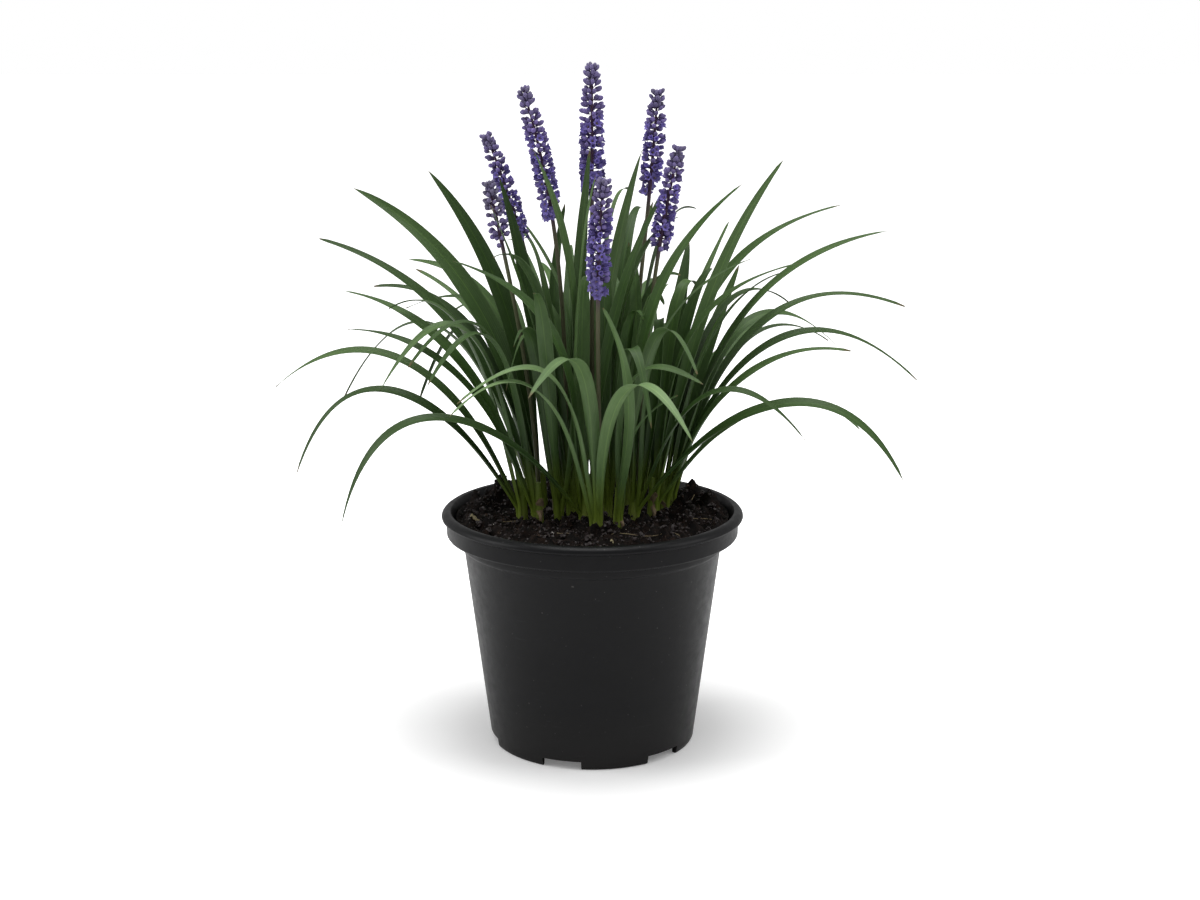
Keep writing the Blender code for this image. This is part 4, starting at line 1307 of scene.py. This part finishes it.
def pebble(name, detail):
    """A rough lump, one unit across, the start of each crumb."""
    deselect_all()
    bpy.ops.mesh.primitive_ico_sphere_add(subdivisions=detail, radius=0.5)
    lump = named(name)
    points = coords(lump.data)
    for point in points:
        point *= 0.75 + 0.75 * noise.noise(Vector(point) * 2.7 + Vector((3.1, 1.7, 9.2)))
    set_coords(lump.data, points)
    return lump


def lay(master, x, y, size, draw, squash, sink):
    """A copy of a lump, turned and squashed by the draw, laid on the soil."""
    lump = copy_of(master)
    turn = Matrix.Rotation(draw.uniform(0.0, 6.3), 4, "Z") @ \
        Matrix.Rotation(draw.uniform(0.0, 6.3), 4, "X")
    scale = Matrix.Diagonal((size, size * draw.uniform(*squash), size * draw.uniform(*squash),
                             1.0))
    lift = ground(x, y) + size * (0.5 - sink)
    lump.data.transform(Matrix.Translation((x, y, lift)) @ turn @ scale)
    return lump


def strew(master, name, draw, number, size_range, squash, sink):
    """Lumps strewn on the soil, small ones more often, joined into one piece."""
    size_low, size_high = size_range
    batches = []
    lumps = []
    for index in range(number):
        size = size_low * (size_high / size_low) ** (draw.random() ** 1.6)
        radius = (inner_radius(SOIL_LEVEL) - 0.001 - size) * math.sqrt(draw.random())
        turn = draw.uniform(0.0, 2.0 * math.pi)
        lumps.append(lay(master, radius * math.cos(turn), radius * math.sin(turn), size,
                         draw, squash, sink))
        if len(lumps) == LUMPS_PER_JOIN or index == number - 1:
            batches.append(join(lumps, name))
            lumps = []
    return join(batches, name)


def fibre(name, route, radius, tip_radius):
    """A root or thread: a curve through its points, made a closed tube."""
    deselect_all()
    bpy.ops.curve.primitive_nurbs_path_add()
    curve = bpy.context.object
    spline = curve.data.splines[0]
    for index, point in enumerate(spline.points):
        point.co = (*route[index], 1.0)
        share = index / (len(spline.points) - 1)
        point.radius = 1.0 + (tip_radius / radius - 1.0) * share
    spline.use_endpoint_u = True
    curve.data.resolution_u = 4
    curve.data.bevel_depth = radius
    curve.data.bevel_resolution = 1
    curve.data.use_fill_caps = True
    bpy.ops.object.convert(target="MESH")
    return named(name)


class LIRIOPE_OT_litter(bpy.types.Operator):
    """Adds the crumbs, white grit, bark and root threads on the soil"""

    bl_idname = "liriope.litter"
    bl_label = "Crumbs, grit and roots"

    def execute(self, context):
        """Strews each kind of bit from one seeded draw."""
        draw = random.Random(7)
        small = pebble("small_lump", 1)
        large = pebble("large_lump", 2)
        earth = bpy.data.materials["soil"]
        count = settings().crumb_count
        crumbs = strew(small, "soil_crumbs", draw, count, CRUMB_SIZES, LUMP_SQUASH, 0.25)
        shade(crumbs, 30)
        dress(crumbs, "soil", material=earth)
        clods = strew(large, "soil_clods", draw, count // CRUMBS_PER_CLOD, CLOD_SIZES,
                      LUMP_SQUASH, 0.40)
        shade(clods, 30)
        dress(clods, "soil", material=earth)
        grit = strew(small, "white_grit", draw, GRIT_COUNT, GRIT_SIZES, (0.6, 0.95), 0.2)
        stones = [lay(large, x * MM, y * MM, size * MM, draw, (0.65, 0.9), 0.3)
                  for x, y, size in WHITE_GRIT]
        grit = join([grit] + stones, "white_grit")
        shade(grit, 40)
        dress(grit, "soil", material=speck_material("grit"))
        bark = strew(large, "bark_chips", draw, BARK_COUNT, BARK_SIZES, BARK_SQUASH, 0.2)
        shade(bark, 40)
        dress(bark, "soil", material=speck_material("bark"))
        self.add_curls()
        self.add_threads(draw)
        remove(small, large)
        return {"FINISHED"}

    @staticmethod
    def add_curls():
        """Curled pale husks, each a rolled strip."""
        curls = []
        for x, y, length, heading in PALE_CURLS:
            deselect_all()
            bpy.ops.mesh.primitive_grid_add(x_subdivisions=14, y_subdivisions=3, size=2.0)
            curl = named("pale_curl")
            points = coords(curl.data)
            for point in points:
                share = (point[0] + 1.0) / 2.0
                arc = (share - 0.5) * 2.4
                width = 0.16 * length * MM * (0.3 + math.sin(math.pi * share))
                out = length * MM * 0.42
                turn = math.radians(heading) + arc
                x_now = x * MM + out * (math.sin(turn) - math.sin(math.radians(heading)))
                y_now = y * MM + out * (math.cos(turn) - math.cos(math.radians(heading)))
                lift = 0.0010 + 0.6 * width * point[1] + 0.0008 * math.sin(math.pi * share)
                point[:] = (x_now, y_now + width * point[1] * 0.8,
                            ground(x_now, y_now) + lift)
            set_coords(curl.data, points)
            step = curl.modifiers.new("thickness", "SOLIDIFY")
            step.thickness = 0.0004
            step.offset = 0.0
            apply_step(curl, step)
            curls.append(curl)
        husks = join(curls, "pale_husks")
        shade(husks, 50)
        dress(husks, "soil", material=speck_material("husk"))

    @staticmethod
    def add_threads(draw):
        """Pale roots over the soil, and fine dark fibres that stand out of it."""
        threads = []
        for *route, radius in ROOTS:
            raised = []
            for index, (x, y) in enumerate(route):
                lift = -0.0004 if index in (0, len(route) - 1) else 0.0020
                raised.append((x * MM, y * MM, ground(x * MM, y * MM) + lift))
            threads.append(fibre("root_thread", raised, radius * MM, radius * MM * 0.5))
        roots = join(threads, "root_threads")
        shade(roots, 60)
        dress(roots, "soil", material=speck_material("root"))
        hairs = []
        for _ in range(FIBRE_COUNT):
            radius = (inner_radius(SOIL_LEVEL) - 0.007) * math.sqrt(draw.random())
            turn = draw.uniform(0.0, 2.0 * math.pi)
            heading = draw.uniform(0.0, 2.0 * math.pi)
            reach = draw.uniform(*FIBRE_REACH)
            route = []
            for step in range(5):
                share = step / 4.0
                x = radius * math.cos(turn) + reach * share * math.cos(heading + share)
                y = radius * math.sin(turn) + reach * share * math.sin(heading + share)
                lift = 0.0005 + FIBRE_RISE * draw.random() * share
                route.append((x, y, ground(x, y) + lift))
            hairs.append(fibre("soil_hair", route, FIBRE_RADIUS, FIBRE_TIP))
        fibres = join(hairs, "soil_fibres")
        shade(fibres, 60)
        dress(fibres, "soil", material=speck_material("fibre"))


# The leafy shoots


def blade_master():
    """A flat strap with an upper and a lower face, that each blade is bent from."""
    deselect_all()
    bpy.ops.mesh.primitive_grid_add(x_subdivisions=BLADE_ALONG, y_subdivisions=BLADE_ACROSS,
                                    size=2.0, calc_uvs=True)
    strap = named("strap")
    bpy.ops.object.mode_set(mode="EDIT")
    bpy.ops.mesh.select_all(action="SELECT")
    bpy.ops.transform.translate(value=(1.0, 0.0, 0.0))
    bpy.ops.transform.resize(value=(0.5, 1.0, 1.0), center_override=(0.0, 0.0, 0.0))
    bpy.ops.object.mode_set(mode="OBJECT")
    step = strap.modifiers.new("faces", "SOLIDIFY")
    step.thickness = 1.0
    step.offset = -1.0
    apply_step(strap, step)
    return strap


def blade_rows(blade, layer, foot):
    """For each row of the strap: its centre, side and face, its half width and wrap.

    Below its root the blade goes on down into the soil, and near the soil it
    wraps round its shoot, each blade outside the last.
    """
    rows = []
    heading = -blade.frame(0.0)[2]
    for index in range(BLADE_ALONG + 1):
        share = (index / BLADE_ALONG) * (1.0 + BELOW_ROOT) - BELOW_ROOT
        held = max(share, 0.0)
        centre = blade.at(held)
        _, side, face = blade.frame(held)
        if share < 0.0:
            centre.z += (foot - centre.z) * (share / -BELOW_ROOT)
        wrap = 1.0 - ease(share / WRAP_END)
        centre = centre + heading * (layer * wrap)
        half = max(blade.half_width(held), LEAST_LEAF_HALF)
        half *= NECK_WIDTH + (1.0 - NECK_WIDTH) * ease(share / NECK_END)
        if share > POINT_START:
            ended = (share - POINT_START) / (1.0 - POINT_START)
            half *= max(1.0 - ended ** 2, POINT_LEAST)
        rows.append((share, centre, side, face, half, wrap))
    return rows


def bend_blade(strap, blade, layer, foot, draw, pale):
    """Bends a copy of the strap along a blade's curve, with its fold and ribs."""
    piece = copy_of(strap)
    points = coords(piece.data)
    values = settings()
    wave = draw.uniform(0.0, 6.3)
    tilt = draw.uniform(-LEAF_TILT, LEAF_TILT)
    rows = blade_rows(blade, layer, foot)
    for point in points:
        across, level = point[1], point[2]
        share, centre, side, face, half, wrap = rows[round(point[0] * BLADE_ALONG)]
        half *= 1.0 + WIDTH_WAVE * math.sin(WIDTH_WAVES * share + wave)
        angle = OPEN_ANGLE + WRAP_ANGLE * wrap
        out = half * math.sin(across * angle) / angle
        roll = half * (1.0 - math.cos(across * angle)) / angle
        fold = values.leaf_fold * (1.15 - 0.75 * share) * half * (1.0 - wrap)
        cup = fold * (abs(across) ** 1.3 - 0.35)
        rib = RIB_HEIGHT * math.cos(across * math.pi * BLADE_ACROSS)
        thin = values.leaf_thickness * (1.0 - 0.55 * abs(across)) * (1.0 - 0.6 * share ** 2)
        ripple = EDGE_RIPPLE * math.sin(EDGE_RIPPLES * share + wave) * across * max(share, 0.0)
        lift = roll + cup + rib + ripple + (level + 0.35) * thin + tilt * across * half
        point[:] = centre + side * out + face * lift
    set_coords(piece.data, points)
    mark(piece, BLADE_MARK, (draw.random(), draw.random() ** 2, min(max(pale, 0.0), 1.0)))
    return piece


def add_sheath(node, heading, draw):
    """The short clasping base of a shoot, ribbed and pale near the soil."""
    x, y, _ = SHOOTS[node]
    foot = ground(x * MM, y * MM) - 0.008
    top = SHEATH_TOP + 0.004
    deselect_all()
    bpy.ops.mesh.primitive_grid_add(x_subdivisions=9, y_subdivisions=18, size=2.0,
                                    calc_uvs=True)
    sheath = named("sheath")
    points = coords(sheath.data)
    for point in points:
        share = (point[0] + 1.0) / 2.0
        turn = point[1] * math.pi
        radius = SHEATH_RADIUS * (0.92 - 0.50 * share)
        radius *= 1.0 + 0.05 * math.cos(7.0 * turn)
        across = radius * 0.80 * math.sin(turn)
        ahead = radius * 1.05 * math.cos(turn)
        point[0] = x * MM + ahead * math.cos(heading) - across * math.sin(heading)
        point[1] = y * MM + ahead * math.sin(heading) + across * math.cos(heading)
        point[2] = foot + (top - foot) * share
    set_coords(sheath.data, points)
    close_tube(sheath)
    layer = sheath.data.uv_layers.active
    flat = np.empty(len(layer.data) * 2, np.float32)
    layer.data.foreach_get("uv", flat)
    flat[0::2] *= 0.10
    layer.data.foreach_set("uv", flat)
    mark(sheath, BLADE_MARK, (draw.random(), 0.0, 0.4))
    return sheath


class LIRIOPE_OT_shoots(bpy.types.Operator):
    """Adds the leafy shoots, each with its sheath and blades"""

    bl_idname = "liriope.shoots"
    bl_label = "Leafy shoots"

    def execute(self, context):
        """Bends each blade along its curve, and joins each shoot's own."""
        draw = random.Random(23)
        strap = blade_master()
        leaf = leaf_material()
        for node, (x, y, colour) in SHOOTS.items():
            blades = [blade for blade in PLANT[1] if blade.node == node]
            blades.sort(key=lambda blade: blade.at(0.35).z, reverse=True)
            outer = blades[-1].points[3] - blades[-1].points[0]
            pieces = [add_sheath(node, math.atan2(outer.y, outer.x), draw)]
            foot = ground(x * MM, y * MM) - LEAF_DEPTH
            for index, blade in enumerate(blades):
                layer = FIRST_LAYER + LAYER_SPREAD * (index + 1) / len(blades)
                # Paleness mixes in the lit pale colour, partly painted light, with more painted light
                # on leaves that reach the front
                pale = PALENESS[colour] + draw.uniform(-0.10, 0.14)
                pale += FRONT_PAINTED_LIGHT * (blade.points[3].y < FRONT_REACH)
                pieces.append(bend_blade(strap, blade, layer, foot, draw, pale))
            shoot = join(pieces, node + "_leaves")
            shade(shoot, 50)
            dress(shoot, "leaf_" + colour, node, material=leaf)
        self.add_papery(strap, draw)
        remove(strap)
        return {"FINISHED"}

    @staticmethod
    def add_papery(strap, draw):
        """Brown dried sheaths that cling to some of the shoots."""
        flakes = []
        for node, heading, length in DRIED_SHEATHS:
            x, y, _ = SHOOTS[node]
            turn = math.radians(heading)
            out = Vector((math.cos(turn), math.sin(turn), 0.0))
            foot = ground(x * MM, y * MM) - 0.001
            root = Vector((x * MM, y * MM, foot + 0.002))
            tip = root + out * length * MM * 0.30 + UP * length * MM * 0.7
            flake = Blade(node, root, (root + tip) / 2.0 - out * 0.001, tip, 0.0055, 20.0)
            flakes.append(bend_blade(strap, flake, 0.0044, foot, draw, 0.0))
        papery = join(flakes, "papery_sheaths")
        shade(papery, 50)
        dress(papery, "leaf_pale", material=papery_material())


# The flower spikes

def bud_master():
    """A closed bud on its thin stalklet, one unit long, pointing along +X."""
    deselect_all()
    bpy.ops.mesh.primitive_uv_sphere_add(segments=7, ring_count=7, radius=1.0,
                                         rotation=(0.0, math.pi / 2.0, 0.0))
    bud = named("bud")
    settle(bud)
    points = coords(bud.data)
    stations = {}
    heights = sorted({round(float(value), 4) for value in points[:, 0]})
    for index, value in enumerate(heights):
        if 0 < index < len(heights) - 1:
            stations[value] = BUD_PROFILE[index - 1]
    for point in points:
        value = round(float(point[0]), 4)
        found = stations.get(value)
        if not found:
            point[:] = (0.0 if value < 0.0 else 1.0, 0.0, 0.0)
            continue
        along, width = found
        turn = math.atan2(point[2], point[1])
        point[:] = (along, width * math.cos(turn), width * math.sin(turn))
    set_coords(bud.data, points)
    stem = 1.0 - np.clip((points[:, 0] - 0.30) / 0.30, 0.0, 1.0)
    mark(bud, FLORET_MARK, (0.5, 0.0, stem))
    return bud


def petal_master():
    """One pointed petal, a unit long along +X and curved upwards."""
    deselect_all()
    bpy.ops.mesh.primitive_grid_add(x_subdivisions=4, y_subdivisions=2, size=2.0)
    petal = named("petal")
    points = coords(petal.data)
    for point in points:
        share = (point[0] + 1.0) / 2.0
        width = PETAL_PROFILE[round(share * 4)]
        across = point[1] * width
        point[:] = (share, across, 0.10 * math.sin(math.pi * share * 0.9)
                    + 0.9 * across * across)
    set_coords(petal.data, points)
    step = petal.modifiers.new("thickness", "SOLIDIFY")
    step.thickness = 0.04
    apply_step(petal, step)
    return petal


def placed(master, origin, ahead, up, size):
    """A copy of a master whose X runs ahead and whose Z leans to up."""
    ahead = ahead.normalized()
    side = up.cross(ahead)
    if side.length < 1e-6:
        side = ahead.orthogonal()
    side.normalize()
    top = ahead.cross(side)
    turn = Matrix((ahead, side, top)).transposed().to_4x4()
    scale = Matrix.Diagonal((*size, 1.0))
    piece = copy_of(master)
    piece.data.transform(Matrix.Translation(origin) @ turn @ scale)
    return piece


def floret_master(name, petal, bead, opening, materials):
    """An open floret: a stalklet, six petals and yellow anthers."""
    deselect_all()
    bpy.ops.mesh.primitive_cone_add(vertices=5, radius1=0.032, radius2=0.075, depth=0.42,
                                    location=(0.21, 0.0, 0.0),
                                    rotation=(0.0, math.pi / 2.0, 0.0))
    stem = named("stalklet")
    settle(stem)
    stem.data.materials.append(materials["pedicel"])
    mark(stem, FLORET_MARK, (0.5, 0.0, 0.8))
    pieces = [stem]
    ahead = Vector((1.0, 0.0, 0.0))
    centre = ahead * 0.38
    for index in range(6):
        turn = math.pi * index / 3.0
        out = Vector((0.0, math.cos(turn), math.sin(turn)))
        angle = opening * (1.0 if index % 2 else 0.88)
        heading = ahead * math.cos(angle) + out * math.sin(angle)
        leaf = placed(petal, centre, heading, ahead, (0.62, 0.62, 0.62))
        leaf.data.materials.append(materials["petal"])
        mark(leaf, FLORET_MARK, (0.5, 0.0, 0.0))
        pieces.append(leaf)
        if index % 2 == 0:
            spot = centre + ahead * 0.24 + out * 0.07
            anther = placed(bead, spot, ahead, out, (0.16, 0.07, 0.07))
            anther.data.materials.append(materials["anther"])
            mark(anther, FLORET_MARK, (0.5, 0.0, 0.0))
            pieces.append(anther)
    return join(pieces, name)


def tint(piece, tone, grey):
    """Sets a floret's tone and age, and leaves its stalklet's mark."""
    attribute = piece.data.attributes[FLORET_MARK]
    rows = np.empty(len(attribute.data) * 4, np.float32)
    attribute.data.foreach_get("color", rows)
    rows[0::4] = tone
    rows[1::4] = grey
    attribute.data.foreach_set("color", rows)


class LIRIOPE_OT_stalks(bpy.types.Operator):
    """Adds each flower stalk, up through the middle of its head"""

    bl_idname = "liriope.stalks"
    bl_label = "Flower stalks"

    def execute(self, context):
        """Rolls a long sheet to a tube along each spike's curve."""
        material = stalk_material()
        draw = random.Random(5)
        for spike in PLANT[0]:
            deselect_all()
            bpy.ops.mesh.primitive_grid_add(x_subdivisions=10, y_subdivisions=60, size=2.0,
                                            calc_uvs=True)
            stalk = named("flower_stalk_" + spike.label)
            points = coords(stalk.data)
            end = 1.0 - 0.6 * RACHIS_SHORT * (1.0 - spike.head_start)
            for point in points:
                share = end * (point[1] + 1.0) / 2.0
                turn = point[0] * math.pi
                _, side, face = spike.frame(share)
                inside = max(share - spike.head_start, 0.0) / (1.0 - spike.head_start)
                radius = STALK_RADIUS * (0.92 - 0.12 * share) * (1.0 - 0.50 * inside)
                radius *= 1.0 + 0.05 * math.cos(5.0 * turn)
                out = side * math.cos(turn) + face * math.sin(turn)
                point[:] = spike.at(share) + out * radius
            high = np.array([ease((z - spike.at(spike.head_start).z + 0.012) / 0.015)
                             for z in points[:, 2]])
            set_coords(stalk.data, points)
            mark(stalk, STALK_MARK, (high, draw.random(), 0.0))
            close_tube(stalk)
            shade(stalk, 60)
            dress(stalk, "stalk", "stalk_" + spike.label, material=material)
        return {"FINISHED"}


class LIRIOPE_OT_heads(bpy.types.Operator):
    """Adds the flower heads: buds above, open florets below, in whorls"""

    bl_idname = "liriope.heads"
    bl_label = "Flower heads"

    def execute(self, context):
        """Models a bud and three florets once, and sets copies whorl by whorl."""
        values = settings()
        materials = {
            "bud": floret_material("bud", values.bud_colour, BUD_VEIN, 0.55),
            "petal": floret_material("petal", values.floret_colour, PETAL_VEIN, 0.5),
            "anther": speck_material("anther"),
            "pedicel": floret_material("pedicel", PEDICEL, PEDICEL_VEIN, 0.6),
        }
        bud = bud_master()
        bud.data.materials.append(materials["bud"])
        petal = petal_master()
        deselect_all()
        bpy.ops.mesh.primitive_uv_sphere_add(segments=5, ring_count=4, radius=0.5)
        bead = named("bead")
        florets = [floret_master("floret", petal, bead, opening, materials)
                   for opening in OPENINGS]
        draw = random.Random(41)
        for spike in PLANT[0]:
            pieces = self.whorls(spike, bud, florets, draw)
            pieces += self.tip(spike, bud, draw)
            head = join(pieces, "florets_" + spike.label)
            shade(head, 70)
            dress(head, "floret", "head_" + spike.label)
        remove(bud, petal, bead, *florets)
        return {"FINISHED"}

    @staticmethod
    def whorls(spike, bud, florets, draw):
        """A head's buds and florets from its foot to near its tip."""
        length = (1.0 - spike.head_start) * spike.length
        rows = int(length / settings().floret_rows)
        young = spike.label == YOUNG_SPIKE
        pieces = []
        for row in range(rows):
            part = (row + 0.3) / rows
            count = 9 if part > 0.65 else 8
            for index in range(count):
                if part < SPARSE_FOOT and draw.random() < SPARSE_SHARE:
                    continue
                turn = 2.0 * math.pi * (index + 0.5 * (row % 2)) / count + 0.2 * row
                turn += draw.uniform(-0.2, 0.2)
                here = min(max(part + draw.uniform(-0.3, 0.3) / rows, 0.0), 0.98)
                share = spike.head_start + (1.0 - spike.head_start) * here
                ahead, side, face = spike.frame(share)
                out = side * math.cos(turn) + face * math.sin(turn)
                reach = spike.reach(part) * draw.uniform(0.90, 1.05)
                reach *= 1.0 + 0.35 * ease((part - 0.8) / 0.2)
                lift = 0.12 + 0.45 * part + 1.0 * max(part - 0.78, 0.0) / 0.22
                direction = (out + ahead * (lift + draw.uniform(-0.14, 0.14))).normalized()
                origin = spike.at(share) + out * RACHIS_RADIUS * 0.4
                bloom = part < BLOOM_END + draw.uniform(-0.16, 0.12) and not young
                grey = max(0.0, (part - 0.66) / 0.34) * 0.8
                if young:
                    grey = 0.35 + 0.6 * ease((part - 0.25) / 0.4)
                if bloom and draw.random() < BLOOM_SHARE:
                    kind = florets[draw.choice((0, 0, 0, 1, 1) if part > 0.15 else (1, 2, 2))]
                    width = reach * draw.uniform(0.85, 1.0)
                    piece = placed(kind, origin, direction, ahead, (reach, width, width))
                else:
                    width = BUD_THICK * draw.uniform(0.88, 1.12) * (1.0 - 0.2 * part)
                    piece = placed(bud, origin, direction, ahead, (reach, width, width))
                tint(piece, draw.random(), min(grey * draw.uniform(0.7, 1.2), 1.0))
                pieces.append(piece)
        return pieces

    @staticmethod
    def tip(spike, bud, draw):
        """The upright buds that close a head's tip."""
        share = 1.0 - RACHIS_SHORT * (1.0 - spike.head_start)
        ahead, side, face = spike.frame(share)
        pieces = []
        for number, spread, below, size in TIP_RINGS:
            for index in range(number):
                turn = 2.0 * math.pi * (index + draw.uniform(-0.2, 0.2)) / number + spread
                out = side * math.cos(turn) + face * math.sin(turn)
                direction = ahead + out * spread
                foot = spike.at(share) - ahead * below
                piece = placed(bud, foot, direction, out, (size, size, size))
                tint(piece, draw.random(), draw.uniform(0.7, 1.0))
                pieces.append(piece)
        return pieces


# Stage

class LIRIOPE_OT_stage(bpy.types.Operator):
    """Adds the pale floor, the soft lamps and the photograph's camera"""

    bl_idname = "liriope.stage"
    bl_label = "Floor, lamps and camera"

    def execute(self, context):
        """Lays the floor, whose painted glow, seen by the camera alone, fades up to white away from the
        pot, hangs the lamps and sets the camera.
        """
        deselect_all()
        bpy.ops.mesh.primitive_plane_add(size=FLOOR_SIZE)
        floor = named("floor")
        material, nodes, shader = new_material("pale_floor", 0.9, 0.1)
        shader.inputs["Base Color"].default_value = (*[FLOOR_GREY] * 3, 1.0)
        # The floor glows where the camera sees it, weakly near the pot and fully further off: painted
        # light
        shader.inputs["Emission Color"].default_value = (1.0, 1.0, 1.0, 1.0)
        place = nodes.add("ShaderNodeTexCoord").outputs["Object"]
        away = nodes.add("ShaderNodeVectorMath", {0: place}, operation="LENGTH").outputs[1]
        seen = nodes.add("ShaderNodeLightPath").outputs["Is Camera Ray"]
        far = nodes.ramp(away, (0.08, 0.15), (0.36, 1.0))
        nodes.link(nodes.math("MULTIPLY", far, seen), shader, "Emission Strength")
        floor.data.materials.append(material)
        context.scene.view_settings.view_transform = "Standard"
        self.add_world()
        for name, (place, target, size, share) in LAMPS.items():
            self.add_lamp(name, place, target, size, settings().lamp_power * share)
        self.add_camera()
        return {"FINISHED"}

    @staticmethod
    def add_world():
        """White light from all round, brighter where the camera sees it."""
        world = bpy.data.worlds.new("studio")
        world.use_nodes = True
        background = world.node_tree.nodes["Background"]
        background.inputs["Color"].default_value = (1.0, 1.0, 1.0, 1.0)
        nodes = Nodes(world.node_tree)
        seen = nodes.add("ShaderNodeLightPath").outputs["Is Camera Ray"]
        nodes.link(nodes.math("MULTIPLY_ADD", seen, 1.0 - SKY_LIGHT, SKY_LIGHT), background, "Strength")
        bpy.context.scene.world = world

    @staticmethod
    def add_lamp(name, place, target, size, power):
        """A square soft lamp that faces its target."""
        deselect_all()
        bpy.ops.object.light_add(type="AREA", location=place)
        lamp = bpy.context.object
        lamp.name = name
        lamp.data.energy = power
        lamp.data.size = size
        heading = Vector(target) - Vector(place)
        lamp.rotation_euler = heading.to_track_quat("-Z", "Y").to_euler()

    @staticmethod
    def add_camera():
        """The photograph's view: 12.7 degrees down, from the front."""
        deselect_all()
        turn = (math.radians(90.0 - CAMERA_DOWN), 0.0, 0.0)
        bpy.ops.object.camera_add(location=CAMERA_PLACE, rotation=turn)
        camera = bpy.context.object
        camera.name = "photo_camera"
        camera.data.lens = CAMERA_LENS
        camera.data.sensor_width = CAMERA_SENSOR
        bpy.context.scene.camera = camera


class LIRIOPE_PT_panel(bpy.types.Panel):
    """Lists the plant's settings and pieces"""

    bl_idname = "LIRIOPE_PT_panel"
    bl_label = "Liriope"
    bl_space_type = "VIEW_3D"
    bl_region_type = "UI"
    bl_category = "Liriope"

    def draw(self, context):
        """Draws the settings, then a button for each piece."""
        values = context.scene.liriope
        for name in LiriopeSettings.__annotations__:
            self.layout.prop(values, name)
        for operator in OPERATORS:
            self.layout.operator(operator.bl_idname)


OPERATORS = (LIRIOPE_OT_pot, LIRIOPE_OT_soil, LIRIOPE_OT_litter, LIRIOPE_OT_shoots,
             LIRIOPE_OT_stalks, LIRIOPE_OT_heads, LIRIOPE_OT_stage)
CLASSES = (LiriopeSettings, *OPERATORS, LIRIOPE_PT_panel)
PLANT = grown_plant()


def register():
    """Adds the classes and the scene's settings."""
    for item in CLASSES:
        bpy.utils.register_class(item)
    bpy.types.Scene.liriope = bpy.props.PointerProperty(type=LiriopeSettings)


def unregister():
    """Takes the classes and the settings away."""
    del bpy.types.Scene.liriope
    for item in reversed(CLASSES):
        bpy.utils.unregister_class(item)


def main():
    """Makes every piece in order."""
    register()
    bpy.ops.liriope.pot()
    bpy.ops.liriope.soil()
    bpy.ops.liriope.litter()
    bpy.ops.liriope.shoots()
    bpy.ops.liriope.stalks()
    bpy.ops.liriope.heads()
    bpy.ops.liriope.stage()


if __name__ == "__main__":
    main()
